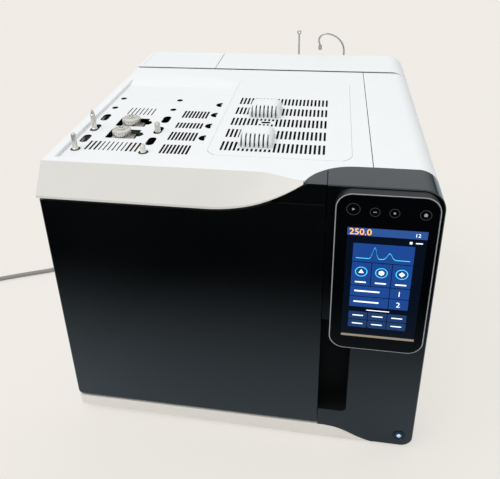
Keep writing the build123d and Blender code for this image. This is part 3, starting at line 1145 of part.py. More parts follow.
FLOW_X0 = RIGHT - 221.5
FLOW_PITCH = 48.0
FLOW_W = 38.0
FLOW_IN = 12.0
FLOW_Z = SHELF_Z + SHEET
FLOW_H = 78.0
VALVE_D = 35.0
VALVE_H = 10.0
VALVE_R = 9.0
with BuildPart() as flow_controllers:
    for step in range(3):
        flow_x = FLOW_X0 + step * FLOW_PITCH
        block(flow_x - FLOW_W / 2, flow_x + FLOW_W / 2, SEAM_Y + FLOW_IN, BACK - SHEET - FLOW_IN, FLOW_Z,
              FLOW_Z + FLOW_H)
        rod_z(flow_x, SEAM_Y + VALVE_D, FLOW_Z + FLOW_H, FLOW_Z + FLOW_H + VALVE_H, VALVE_R)
save(flow_controllers, "flow_controllers")

with BuildPart() as gas_fittings:
    for gas_x in GAS_XS:
        with BuildSketch(facing(LINE_Y + 7)):
            with Locations((gas_x, GAS_Z)):
                RegularPolygon(GAS_R, 6)
        extrude(amount=14)
        rod_y(gas_x, GAS_Z, BACK - SHEET - 6, LINE_Y, GAS_R - 2)
        rod_y(gas_x, GAS_Z, BACK, BACK + 3, GAS_R + 1)
        rod_z(gas_x, LINE_Y, GAS_Z, GAS_Z + 16, 4.5)
        rod_z(gas_x, LINE_Y, GAS_Z + 6, GAS_Z + 16, GAS_TUBE_R + RUN_FIT, mode=Mode.SUBTRACT)
save(gas_fittings, "gas_fittings")

LINE_TOP = REAR_TOP + 38.0
LOOP_R = 3.2
with BuildPart() as gas_lines:
    # straight stub with an eye at its top
    rod_z(GAS_XS[0], LINE_Y, GAS_Z + 6, LINE_TOP, GAS_TUBE_R)
    with BuildSketch(Plane((GAS_XS[0] + LOOP_R, LINE_Y, LINE_TOP + LOOP_R), x_dir=(1, 0, 0), z_dir=(0, 0, 1))):
        Circle(GAS_TUBE_R * 0.7)
    revolve(axis=Axis((GAS_XS[0], 0, LINE_TOP + LOOP_R), (0, 1, 0)))
    # capped vent tube
    with BuildLine() as vent_path:
        Line((GAS_XS[2], LINE_Y, GAS_Z + 6), (GAS_XS[2], LINE_Y, REAR_TOP + 2))
        TangentArc((GAS_XS[2], LINE_Y, REAR_TOP + 2), (GAS_XS[1] + 12, LINE_Y, REAR_TOP + 39), tangent=(0, 0, 1))
        TangentArc(vent_path.edges()[-1] @ 1, (GAS_XS[1], LINE_Y, REAR_TOP + 16),
                   tangent=vent_path.edges()[-1] % 1)
    with BuildSketch(Plane((GAS_XS[2], LINE_Y, GAS_Z + 6), z_dir=(0, 0, 1))):
        Circle(GAS_TUBE_R)
    sweep(path=vent_path.line)
    rod_z(GAS_XS[1], LINE_Y, REAR_TOP + 6, REAR_TOP + 15, 3.4)
save(gas_lines, "gas_lines")

GLAND_R = 11.0
with BuildPart() as cord_gland:
    rod_y(GLAND_X, GLAND_Z, BACK, BACK + 4, GLAND_R)
    rod_y(GLAND_X, GLAND_Z, BACK - SHEET - 4, BACK, 8 - FIT)
    with BuildSketch(facing(BACK + 4)):
        with Locations((GLAND_X, GLAND_Z)):
            Circle(CORD_R + 3.5)
    with BuildSketch(facing(BACK + REAR_OUT)):
        with Locations((GLAND_X, GLAND_Z)):
            Circle(CORD_R + 1.8)
    loft()
    rod_y(GLAND_X, GLAND_Z, BACK - SHEET - 4, BACK + REAR_OUT, CORD_R + FIT, mode=Mode.SUBTRACT)
save(cord_gland, "cord_gland")

# ---------------------------------------------------------------- mains cord, its coil and plug
CORD_ROUTE = [(GLAND_X, BACK + 2, GLAND_Z), (GLAND_X, 330, GLAND_Z), (-232, 402, 26), (-285, 452, CORD_FLOOR),
              (-352, 440, CORD_FLOOR), (-398, 385, CORD_FLOOR), (-404, 305, CORD_FLOOR), (-396, 220, CORD_FLOOR),
              (-404, 135, CORD_FLOOR), (-440, 60, CORD_FLOOR), (-517, 29.5, CORD_FLOOR), (-598, -8, CORD_FLOOR),
              (-660.6, -39.2, CORD_FLOOR)]
COIL_C = (-640.1, -80.4)
COIL_R = 46.0
BUNDLE_R = 10.0
PLUG_Z = 11.0
TAIL_ROUTE = [(-685.4, -88.4, CORD_FLOOR), (-683, -128, CORD_FLOOR + 1), (-668, -166, PLUG_Z), (-652, -196, PLUG_Z)]


def corner_radii(points):
    """Radius of each corner of a cord: 0.45 of the shorter run over the tangent of half the turn."""
    radii = []
    for before, corner, after in zip(points, points[1:], points[2:]):
        run_in = Vector(*corner) - Vector(*before)
        run_out = Vector(*after) - Vector(*corner)
        turn = radians(run_in.get_angle(run_out))
        radii.append(0.45 * min(run_in.length, run_out.length) / tan(turn / 2))
    return radii


def cord_tube(points):
    """Round tube along a cord's route, joined to the part being built."""
    with BuildLine() as path:
        FilletPolyline(*points, radius=corner_radii(points))
    start = Plane(path.line @ 0, z_dir=path.line % 0)
    with BuildSketch(start) as section:
        Circle(CORD_R)
    sweep(section.sketch, path=path.line)
    return sum(edge.length for edge in path.edges())


with BuildPart() as power_cord:
    cord_length = cord_tube(CORD_ROUTE) + cord_tube(TAIL_ROUTE)
save(power_cord, "power_cord")
print("cord radii", [round(r, 1) for r in corner_radii(CORD_ROUTE) + corner_radii(TAIL_ROUTE)])
print("cord length", round(cord_length, 1), "volume share", power_cord.part.volume / cord_length / CORD_R**2)

with BuildPart() as cord_coil:
    with BuildSketch(Plane((COIL_C[0] + COIL_R, COIL_C[1], BUNDLE_R + 0.2), x_dir=(1, 0, 0), z_dir=(0, -1, 0))):
        Circle(BUNDLE_R)
    revolve(axis=Axis((COIL_C[0], COIL_C[1], 0), (0, 0, 1)))
save(cord_coil, "cord_coil")

plug_dir = (Vector(*TAIL_ROUTE[-1]) - Vector(*TAIL_ROUTE[-2])).normalized()
plug_plane = Plane(Vector(*TAIL_ROUTE[-1]), x_dir=(-plug_dir.Y, plug_dir.X, 0), z_dir=plug_dir)
with BuildPart() as cord_plug:
    with BuildSketch(plug_plane):
        RectangleRounded(14, 12, 4)
    with BuildSketch(plug_plane.offset(16)):
        RectangleRounded(26, 20, 5)
    loft()
    with BuildSketch(plug_plane.offset(16)):
        RectangleRounded(26, 20, 5)
    extrude(amount=20)
    with BuildSketch(plug_plane.offset(36)):
        with Locations((-6.5, 2), (6.5, 2)):
            Rectangle(1.6, 6.4)
        with Locations((0, -4)):
            Circle(2.4)
    extrude(amount=17)
save(cord_plug, "cord_plug")
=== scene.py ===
"""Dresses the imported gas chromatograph: finishes, rounded edges, slotted covers, lit screen and mains cord."""

import json
import logging
import math
from dataclasses import dataclass, field
from enum import Enum
from typing import Callable, Iterable, Sequence

import bmesh
import bpy
from mathutils import Matrix, Vector


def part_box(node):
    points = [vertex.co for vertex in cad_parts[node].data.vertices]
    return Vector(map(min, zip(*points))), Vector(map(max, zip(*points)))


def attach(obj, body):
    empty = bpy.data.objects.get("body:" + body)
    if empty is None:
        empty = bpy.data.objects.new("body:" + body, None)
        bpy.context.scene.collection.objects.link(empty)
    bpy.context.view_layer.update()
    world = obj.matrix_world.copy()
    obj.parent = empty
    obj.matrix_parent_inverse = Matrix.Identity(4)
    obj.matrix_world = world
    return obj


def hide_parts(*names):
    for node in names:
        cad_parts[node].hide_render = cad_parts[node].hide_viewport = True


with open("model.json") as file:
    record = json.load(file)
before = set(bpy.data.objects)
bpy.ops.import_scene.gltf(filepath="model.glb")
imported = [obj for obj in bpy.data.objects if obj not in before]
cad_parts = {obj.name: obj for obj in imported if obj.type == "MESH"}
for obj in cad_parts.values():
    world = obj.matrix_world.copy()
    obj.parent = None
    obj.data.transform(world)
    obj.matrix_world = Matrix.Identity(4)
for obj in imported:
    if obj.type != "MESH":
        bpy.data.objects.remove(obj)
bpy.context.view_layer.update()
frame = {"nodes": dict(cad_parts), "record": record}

LOG = logging.getLogger("chromatograph")
MM = 0.001

# driving sizes, in metres, as in the solids
WIDTH = 515 * MM
DEPTH = 530 * MM
LEFT = -WIDTH / 2
FRONT = -273 * MM
BACK = FRONT + DEPTH


# ---------------------------------------------------------------- colours and finishes
def linear(hex_colour: str, alpha: float = 1.0) -> tuple[float, float, float, float]:
    """Turns an sRGB hex colour into linear RGBA.

    Args:
        hex_colour: six hex digits after a hash.
        alpha: the fourth channel.

    Returns:
        Linear red, green, blue and alpha.
    """
    values = [int(hex_colour[i:i + 2], 16) / 255 for i in (1, 3, 5)]
    toe, slope, lift, power = 0.04045, 12.92, 0.055, 2.4
    red, green, blue = (v / slope if v <= toe else ((v + lift) / (1 + lift)) ** power for v in values)
    return (red, green, blue, alpha)


def add_node(tree: bpy.types.NodeTree, kind: str, settings: dict | None = None,
             inputs: dict | None = None) -> bpy.types.Node:
    """Adds a node with its settings, and links or sets its inputs.

    Args:
        tree: the tree that gets the node.
        kind: Blender's node type.
        settings: attributes of the node.
        inputs: socket name or index, to a value or to the output socket that feeds it.

    Returns:
        The new node.
    """
    node = tree.nodes.new(kind)
    for name, value in (settings or {}).items():
        setattr(node, name, value)
    for key, value in (inputs or {}).items():
        if isinstance(value, bpy.types.NodeSocket):
            tree.links.new(value, node.inputs[key])
        else:
            node.inputs[key].default_value = value
    return node


@dataclass(frozen=True)
class Finish:
    """A surface: colour with slight clouding, gloss that varies, and a fine relief."""

    name: str
    colour: str
    cloud_colour: str
    roughness: float
    roughness_spread: float = 0.04
    metallic: float = 0.0
    ior: float = 1.5
    coat: float = 0.0
    coat_roughness: float = 0.05
    cloud_mm: float = 60.0
    grain_mm: float = 0.8
    relief: float = 0.05
    stretch: tuple[float, float, float] = (1.0, 1.0, 1.0)
    glow: float = 0.0

    def material(self) -> bpy.types.Material:
        """Builds the material once, and returns it."""
        known = bpy.data.materials.get(self.name)
        if known:
            return known
        material = bpy.data.materials.new(self.name)
        material.use_nodes = True
        tree = material.node_tree
        tree.nodes.clear()
        place = add_node(tree, "ShaderNodeTexCoord").outputs["Object"]
        run = add_node(tree, "ShaderNodeMapping", inputs={"Vector": place, "Scale": self.stretch}).outputs["Vector"]
        clouds = add_node(tree, "ShaderNodeTexNoise", inputs={
            "Vector": run, "Scale": 1 / (self.cloud_mm * MM), "Detail": 3.0}).outputs["Fac"]
        grain = add_node(tree, "ShaderNodeTexNoise", inputs={
            "Vector": run, "Scale": 1 / (self.grain_mm * MM), "Detail": 2.0}).outputs["Fac"]
        colour = add_node(tree, "ShaderNodeMix", {"data_type": "RGBA"}, {
            0: clouds, 6: linear(self.colour), 7: linear(self.cloud_colour)}).outputs[2]
        gloss = add_node(tree, "ShaderNodeMapRange", inputs={
            "Value": clouds, "From Min": 0.3, "From Max": 0.7,
            "To Min": max(0.0, self.roughness - self.roughness_spread),
            "To Max": self.roughness + self.roughness_spread}).outputs["Result"]
        bump = add_node(tree, "ShaderNodeBump", inputs={
            "Height": grain, "Strength": self.relief, "Distance": self.grain_mm * MM / 4}).outputs["Normal"]
        shader = add_node(tree, "ShaderNodeBsdfPrincipled", inputs={
            "Base Color": colour, "Roughness": gloss, "Normal": bump, "Metallic": self.metallic, "IOR": self.ior,
            "Coat Weight": self.coat, "Coat Roughness": self.coat_roughness})
        if self.glow:
            shader.inputs["Emission Color"].default_value = linear(self.colour)
            shader.inputs["Emission Strength"].default_value = self.glow
        add_node(tree, "ShaderNodeOutputMaterial", inputs={"Surface": shader.outputs["BSDF"]})
        return material


class Surface(Enum):
    """The finishes of the instrument, each named for what it is."""

    # polyester powder coat on steel sheet: cool white, faint orange peel
    WHITE_COAT = Finish("powder_coated_steel_white", "#f1f3f5", "#eceff2", 0.42, grain_mm=1.4, relief=0.06)
    # moulded ABS, a little warmer and softer than the sheet
    WHITE_ABS = Finish("moulded_abs_white", "#eceae6", "#e8e6e1", 0.48, grain_mm=0.9, relief=0.05)
    # the same white moulding on the fascia, coloured a little greyer as painted shade on its slanted face
    WHITE_ABS_WITH_PAINTED_SHADE = Finish("moulded_abs_white_painted_shade", "#dddbd7", "#d9d7d2", 0.48, grain_mm=0.9, relief=0.05)
    # piano black acrylic over ABS: near mirror gloss, dust-soft in places
    BLACK_GLOSS = Finish("gloss_black_acrylic", "#040607", "#07090b", 0.16, 0.03, coat=0.6, coat_roughness=0.06,
                         cloud_mm=140.0, grain_mm=1.2, relief=0.012)
    # moulded ABS, black, spark-eroded satin grain; the same black is also painted on the console rim's faces behind
    # its front, as painted shade
    BLACK_ABS_AND_RIM_SHADE = Finish("moulded_abs_black_and_rim_shade", "#101418", "#161a1f", 0.42, 0.05, grain_mm=0.7, relief=0.08)
    # the same moulding, matt: inside the finger recess; the same matt black is also painted on the white covers'
    # punched edges as painted shade in their slots
    MATT_BLACK_AND_SLOT_SHADE = Finish("moulded_abs_black_matt_and_slot_shade", "#060708", "#08090a", 0.75, 0.04, ior=1.3, grain_mm=0.7,
                        relief=0.05)
    # toughened glass with black print behind it; a low IOR stands for its anti-reflective coat
    BLACK_GLASS = Finish("black_printed_glass", "#030405", "#050608", 0.05, 0.015, coat=0.25, coat_roughness=0.02,
                         ior=1.25, cloud_mm=90.0, grain_mm=2.0, relief=0.003)
    # satin anodised aluminium rim
    SILVER = Finish("satin_anodised_aluminium", "#ced1d5", "#c2c6cb", 0.4, 0.05, 0.4, cloud_mm=20.0, relief=0.03)
    # brushed stainless sheet: fine lines along X
    STAINLESS = Finish("brushed_stainless_steel", "#c2c1bc", "#adaca6", 0.3, 0.07, 1.0, cloud_mm=9.0, grain_mm=0.5,
                       relief=0.12, stretch=(0.06, 1.0, 1.0))
    # turned and bead-blasted stainless of ports and posts
    TURNED = Finish("turned_stainless_steel", "#eae7e1", "#d6d2ca", 0.25, 0.07, 0.65, cloud_mm=5.0, grain_mm=0.35,
                    relief=0.1)
    # zinc-plated steel sheet inside, coloured far darker than zinc as painted shade for the dim inside seen through
    # the slots
    ZINC_WITH_PAINTED_SHADE = Finish("zinc_plated_steel_painted_shade", "#3e4145", "#33363a", 0.38, 0.08, 0.85, cloud_mm=12.0, relief=0.06)
    # heater wire, oxidised by heat
    OXIDE = Finish("oxidised_heater_alloy", "#4c4642", "#6a5648", 0.5, 0.08, 0.7, cloud_mm=8.0, relief=0.12)
    # mineral wool
    WOOL = Finish("mineral_wool_board", "#d8cfb4", "#c4b996", 0.95, 0.03, cloud_mm=6.0, grain_mm=1.6, relief=0.7)
    # red-brown silicone rubber
    SILICONE = Finish("silicone_rubber_red", "#94462f", "#823b27", 0.6, 0.05, cloud_mm=18.0, relief=0.06)
    # black rubber
    RUBBER = Finish("black_rubber", "#17181a", "#1e1f21", 0.68, 0.06, cloud_mm=14.0, relief=0.2)
    # grey PVC jacket of the mains cord
    PVC_GREY = Finish("grey_pvc_jacket", "#8d8b88", "#858380", 0.48, 0.06, cloud_mm=26.0, grain_mm=0.8, relief=0.1)
    # painted motor casting
    MOTOR = Finish("painted_motor_casting", "#2b2d30", "#232527", 0.5, 0.06, cloud_mm=12.0, relief=0.2)
    # epoxy board with green mask
    BOARD = Finish("green_solder_mask", "#1f5a37", "#184a2d", 0.35, 0.08, cloud_mm=7.0, relief=0.2)
    # turned brass of the gas fittings
    BRASS = Finish("turned_brass", "#cda75c", "#b99147", 0.25, 0.06, 1.0, cloud_mm=6.0, relief=0.08)
    # polyimide coat of the capillary
    AMBER = Finish("polyimide_coated_silica", "#8a4b1c", "#a35f2a", 0.28, 0.06, coat=0.4, cloud_mm=3.0,
                   grain_mm=1.0, relief=0.5, stretch=(1.0, 8.0, 1.0))
    # lit parts of the screen, the marks on the keys, and the lamp in the power button
    SCREEN_BLACK = Finish("screen_lit_black", "#060d1a", "#08101f", 0.1, 0.02, ior=1.25, coat=0.25,
                          coat_roughness=0.03, glow=0.4)
    SCREEN_NAVY = Finish("screen_lit_navy", "#0a3c84", "#0d4594", 0.3, 0.0, glow=0.4)
    SCREEN_BLUE = Finish("screen_lit_blue", "#234d90", "#234d90", 0.3, 0.0, glow=0.4)
    SCREEN_STEEL = Finish("screen_lit_steel", "#113262", "#153a6e", 0.3, 0.0, glow=0.4)
    SCREEN_CYAN = Finish("screen_lit_cyan", "#4cc4ea", "#4cc4ea", 0.3, 0.0, glow=1.0)
    SCREEN_WHITE = Finish("screen_lit_white", "#dfeaf2", "#dfeaf2", 0.3, 0.0, glow=0.9)
    SCREEN_SAND = Finish("screen_lit_sand", "#8d8271", "#8d8271", 0.3, 0.0, glow=0.35)
    SCREEN_AMBER = Finish("screen_lit_amber", "#ffa63c", "#ffa63c", 0.3, 0.0, glow=1.3)
    KEY_PRINT = Finish("printed_key_mark_grey", "#a9adb2", "#9da1a6", 0.4, 0.02)
    # a grey ring on each key near its edge: a painted highlight where light catches the key's rim
    KEY_EDGE_HIGHLIGHT = Finish("painted_key_edge_highlight", "#565b60", "#4b5055", 0.35, 0.02)
    LAMP = Finish("lit_power_lamp", "#2b6299", "#255787", 0.2, 0.0, glow=0.4)

    def dress(self, piece: bpy.types.Object) -> None:
        """Gives a piece this finish alone."""
        piece.data.materials.clear()
        piece.data.materials.append(self.value.material())


# ---------------------------------------------------------------- making and placing pieces
def new_piece(name: str, mesh: bpy.types.Mesh | bpy.types.Curve, surface: Surface | None) -> bpy.types.Object:
    """Links a mesh or curve as an object at the origin, with its finish.

    Args:
        name: the piece's name.
        mesh: its data, already in place.
        surface: its finish, or None where its data has materials.

    Returns:
        The object.
    """
    piece = bpy.data.objects.new(name, mesh)
    bpy.context.scene.collection.objects.link(piece)
    if surface:
        surface.dress(piece)
    return piece


def seat(piece: bpy.types.Object, body: str, slot: str, *nodes: str) -> bpy.types.Object:
    """Lets a piece ride on a body, hides the solids it stands for, and reports it.

    Args:
        piece: the finished piece.
        body: the CAD body that carries it.
        slot: the record's material slot; not used.
        nodes: the CAD nodes that it replaces.

    Returns:
        The piece.
    """
    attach(piece, body)
    if nodes:
        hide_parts(*nodes)
    LOG.info("%s rides on %s", piece.name, body)
    return piece


def finish_mesh(shape: bmesh.types.BMesh, name: str, smooth_angle: float = 35.0) -> bpy.types.Mesh:
    """Writes a bmesh out with smooth faces and sharp edges above an angle.

    Args:
        shape: the bmesh, which is freed.
        name: the mesh's name.
        smooth_angle: in degrees.

    Returns:
        The mesh.
    """
    for face in shape.faces:
        face.smooth = True
    for edge in shape.edges:
        if len(edge.link_faces) == 2:
            edge.smooth = edge.calc_face_angle(0.0) < math.radians(smooth_angle)
    mesh = bpy.data.meshes.new(name)
    shape.to_mesh(mesh)
    shape.free()
    return mesh


def applied(piece: bpy.types.Object) -> bpy.types.Object:
    """Turns a piece with modifiers into a plain mesh, and returns it."""
    graph = bpy.context.evaluated_depsgraph_get()
    plain = bpy.data.meshes.new_from_object(piece.evaluated_get(graph))
    piece.modifiers.clear()
    piece.data = plain
    return piece


def ease_edges(piece: bpy.types.Object, width: float, segments: int = 2) -> bpy.types.Object:
    """Rounds a piece's sharp edges and applies the result.

    Args:
        piece: the piece.
        width: of the rounding, in metres.
        segments: of each rounded edge.

    Returns:
        The piece.
    """
    bevel = piece.modifiers.new("eased_edges", "BEVEL")
    bevel.width = width
    bevel.segments = segments
    bevel.limit_method = "ANGLE"
    bevel.angle_limit = math.radians(40)
    bevel.harden_normals = True
    bevel.use_clamp_overlap = True
    return applied(piece)


def body_name(node: str) -> str:
    """Name of the CAD body that carries a node."""
    for body, members in frame["record"]["behaviour"]["bodies"].items():
        if node in members:
            return body
    raise KeyError(node)


def slot_name(node: str) -> str:
    """Name of the material slot of a node."""
    for entry in frame["record"]["subparts"]:
        if entry["node"] == node:
            return entry["material_slot"]
    raise KeyError(node)


def eased_copy(node: str, surface: Surface, width: float, segments: int = 2) -> bpy.types.Object:
    """Stands a copy with rounded edges in place of a CAD node.

    Args:
        node: the CAD node.
        surface: the copy's finish.
        width: of the rounding, in metres.
        segments: of each rounded edge.

    Returns:
        The new piece, riding on the node's body.
    """
    shape = bmesh.new()
    shape.from_mesh(frame["nodes"][node].data)
    bmesh.ops.remove_doubles(shape, verts=shape.verts, dist=0.002 * MM)
    bmesh.ops.dissolve_limit(shape, angle_limit=math.radians(0.4), verts=shape.verts, edges=shape.edges)
    piece = new_piece(f"{node}_finished", finish_mesh(shape, node), surface)
    ease_edges(piece, width, segments)
    return seat(piece, body_name(node), slot_name(node), node)


def rounded(corners: Sequence[tuple[float, float]], radii: Sequence[float], steps: int = 6) -> list[Vector]:
    """Rounds the corners of a closed outline.

    Args:
        corners: the outline's points.
        radii: one radius for each corner, 0 for a sharp one.
        steps: arc points of each corner, also of a sharp one, so that outlines match.

    Returns:
        The outline's points.
    """
    outline = []
    count = len(corners)
    for index, radius in enumerate(radii):
        corner = Vector(corners[index])
        before = (Vector(corners[index - 1]) - corner).normalized()
        after = (Vector(corners[(index + 1) % count]) - corner).normalized()
        half = max(0.02, before.angle(after) / 2)
        reach = radius / math.tan(half)
        start, end = corner + before * reach, corner + after * reach
        for step in range(steps):
            share = step / (steps - 1)
            first = start.lerp(corner, share)
            outline.append(first.lerp(corner.lerp(end, share), share))
    return outline


def loft(name: str, rings: Sequence[Sequence[Vector]], surface: Surface, closed_ends: bool = True,
         smooth_angle: float = 35.0) -> bpy.types.Object:
    """Joins rings of equal length into a skin, with flat ends.

    Args:
        name: the piece's name.
        rings: the sections, each a closed ring of points.
        surface: its finish.
        closed_ends: whether the first and last ring are filled.
        smooth_angle: edges above it stay sharp, in degrees.

    Returns:
        The piece.
    """
    shape = bmesh.new()
    made = [[shape.verts.new(point) for point in ring] for ring in rings]
    for near, far in zip(made, made[1:]):
        for index in range(len(near)):
            after = (index + 1) % len(near)
            shape.faces.new((near[index], near[after], far[after], far[index]))
    if closed_ends:
        shape.faces.new(made[0][::-1])
        shape.faces.new(made[-1])
    bmesh.ops.remove_doubles(shape, verts=shape.verts, dist=0.001 * MM)
    bmesh.ops.recalc_face_normals(shape, faces=shape.faces)
    return new_piece(name, finish_mesh(shape, name, smooth_angle), surface)


def turned(name: str, profile: Sequence[tuple[float, float]], centre: Vector, surface: Surface,
           axis: Vector = Vector((0, 0, 1)), steps: int = 32) -> bpy.types.Object:
    """Turns a profile of radius and height about an axis.

    Args:
        name: the piece's name.
        profile: radius and height of each point, from the foot up, starting and ending on the axis.
        centre: the point at height 0.
        surface: its finish.
        axis: direction of the height.
        steps: round the axis.

    Returns:
        The piece.
    """
    turn = Vector((0, 0, 1)).rotation_difference(axis).to_matrix()
    rings = []
    for radius, height in profile:
        reach = max(radius, 0.0005 * MM)
        rings.append([centre + turn @ Vector((reach * math.cos(2 * math.pi * i / steps),
                                              reach * math.sin(2 * math.pi * i / steps), height))
                      for i in range(steps)])
    return loft(name, rings, surface, smooth_angle=30.0)


def joined(name: str, pieces: Iterable[bpy.types.Object]) -> bpy.types.Object:
    """Joins pieces that share one body into one object, each with its own finish.

    Args:
        name: of the joined piece.
        pieces: the pieces, which go.

    Returns:
        The joined piece.
    """
    shape = bmesh.new()
    materials: list[bpy.types.Material] = []
    for piece in pieces:
        mesh = piece.data
        own = [material for material in mesh.materials]
        for material in own:
            if material not in materials:
                materials.append(material)
        first = len(shape.faces)
        shape.from_mesh(mesh)
        shape.faces.ensure_lookup_table()
        for face in shape.faces[first:]:
            face.material_index = materials.index(own[face.material_index])
        bpy.data.objects.remove(piece)
    mesh = bpy.data.meshes.new(name)
    shape.to_mesh(mesh)
    shape.free()
    for material in materials:
        mesh.materials.append(material)
    return new_piece(name, mesh, None)


# ---------------------------------------------------------------- repeats by Geometry Nodes
class Repeat:
    """Repeats a small mesh in rows or round the vertical axis, with a Geometry Nodes tree."""

    def __init__(self, name: str, ring: bool) -> None:
        """Builds the tree.

        Args:
            name: of the tree.
            ring: True for a ring about Z, False for rows.
        """
        self.tree = bpy.data.node_groups.new(name, "GeometryNodeTree")
        self.tree.is_modifier = True
        self.sockets: dict[str, str] = {}
        self._socket("Geometry", "NodeSocketGeometry")
        self._socket("Count", "NodeSocketInt")
        self._socket("Rows", "NodeSocketInt")
        self._socket("Pitch", "NodeSocketVector")
        self._socket("Row Pitch", "NodeSocketVector")
        self._socket("Finish", "NodeSocketMaterial")
        self.tree.interface.new_socket("Geometry", in_out="OUTPUT", socket_type="NodeSocketGeometry")
        given = add_node(self.tree, "NodeGroupInput").outputs
        if ring:
            points = add_node(self.tree, "GeometryNodeMeshLine", {"mode": "OFFSET"}, {
                "Count": given["Count"], "Offset": (0.0, 0.0, 0.0)}).outputs["Mesh"]
            index = add_node(self.tree, "GeometryNodeInputIndex").outputs[0]
            share = add_node(self.tree, "ShaderNodeMath", {"operation": "DIVIDE"}, {
                0: index, 1: given["Count"]}).outputs[0]
            angle = add_node(self.tree, "ShaderNodeMath", {"operation": "MULTIPLY"}, {
                0: share, 1: 2 * math.pi}).outputs[0]
            turn = add_node(self.tree, "ShaderNodeCombineXYZ", inputs={"Z": angle}).outputs[0]
            rows = add_node(self.tree, "GeometryNodeInstanceOnPoints", inputs={
                "Points": points, "Instance": given["Geometry"], "Rotation": turn}).outputs[0]
        else:
            line = add_node(self.tree, "GeometryNodeMeshLine", {"mode": "OFFSET"}, {
                "Count": given["Count"], "Offset": given["Pitch"]}).outputs["Mesh"]
            rows = add_node(self.tree, "GeometryNodeInstanceOnPoints", inputs={
                "Points": line, "Instance": given["Geometry"]}).outputs[0]
        stack = add_node(self.tree, "GeometryNodeMeshLine", {"mode": "OFFSET"}, {
            "Count": given["Rows"], "Offset": given["Row Pitch"]}).outputs["Mesh"]
        spread = add_node(self.tree, "GeometryNodeInstanceOnPoints", inputs={
            "Points": stack, "Instance": rows}).outputs[0]
        real = add_node(self.tree, "GeometryNodeRealizeInstances", inputs={0: spread}).outputs[0]
        finished = add_node(self.tree, "GeometryNodeSetMaterial", inputs={
            "Geometry": real, "Material": given["Finish"]}).outputs[0]
        add_node(self.tree, "NodeGroupOutput", inputs={0: finished})

    def _socket(self, name: str, kind: str) -> None:
        """Adds an input and keeps its identifier."""
        self.sockets[name] = self.tree.interface.new_socket(name, in_out="INPUT", socket_type=kind).identifier

    def spread(self, piece: bpy.types.Object, surface: Surface, place: Vector, count: int,
               pitch: tuple[float, float, float] = (0.0, 0.0, 0.0), rows: int = 1,
               row_pitch: tuple[float, float, float] = (0.0, 0.0, 0.0)) -> bpy.types.Object:
        """Repeats a piece, then moves its mesh into place.

        Args:
            piece: with its first copy at the origin.
            surface: its finish.
            place: where the first copy, or the ring's centre, goes.
            count: copies in a row or round the ring.
            pitch: step along a row.
            rows: number of rows or rings.
            row_pitch: step between them.

        Returns:
            The piece with all its copies.
        """
        modifier = piece.modifiers.new("repeat", "NODES")
        modifier.node_group = self.tree
        settings = {"Count": count, "Rows": rows, "Pitch": pitch, "Row Pitch": row_pitch,
                    "Finish": surface.value.material()}
        for name, value in settings.items():
            modifier[self.sockets[name]] = value
        applied(piece)
        piece.data.transform(Matrix.Translation(place))
        return piece


def slab(name: str, outline: Sequence[Vector], near: float, far: float, surface: Surface,
         across: str = "Y", edge: float = 0.0) -> bpy.types.Object:
    """Pushes a flat outline through a thickness.

    Args:
        name: the piece's name.
        outline: points in X and Z for a slab across Y, in X and Y for one across Z.
        near: where it starts along that axis.
        far: where it ends.
        surface: its finish.
        across: Y or Z.
        edge: rounding of its edges.

    Returns:
        The piece.
    """
    if across == "Y":
        rings = [[Vector((p.x, depth, p.y)) for p in outline] for depth in (near, far)]
    else:
        rings = [[Vector((p.x, p.y, depth)) for p in outline] for depth in (near, far)]
    piece = loft(name, rings, surface)
    return ease_edges(piece, edge) if edge else piece


def rectangle(x0: float, x1: float, z0: float, z1: float, radius: float) -> list[Vector]:
    """Outline of a rounded rectangle, in metres."""
    return rounded([(x0, z0), (x1, z0), (x1, z1), (x0, z1)], [radius] * 4, 5)


def polygon(x: float, z: float, radius: float, sides: int, turn: float = 0.0) -> list[Vector]:
    """Outline of a regular polygon, in metres."""
    return [Vector((x + radius * math.cos(turn + 2 * math.pi * i / sides),
                    z + radius * math.sin(turn + 2 * math.pi * i / sides))) for i in range(sides)]


# ---------------------------------------------------------------- camera, light and bench
@dataclass(frozen=True)
class ViewCamera:
    """The camera: place in metres, turn in degrees, lens in millimetres on a 36 mm sensor, and shift."""

    place: tuple[float, float, float]
    turn: tuple[float, float, float]
    lens: float
    shift: tuple[float, float]

    def build(self) -> None:
        """Adds the camera and makes it the scene's."""
        data = bpy.data.cameras.new("view_camera")
        data.lens = self.lens
        data.sensor_width = 36.0
        data.shift_x, data.shift_y = self.shift
        data.clip_start = 0.02
        camera = bpy.data.objects.new("view_camera", data)
        camera.location = self.place
        camera.rotation_euler = [math.radians(angle) for angle in self.turn]
        bpy.context.scene.collection.objects.link(camera)
        bpy.context.scene.camera = camera


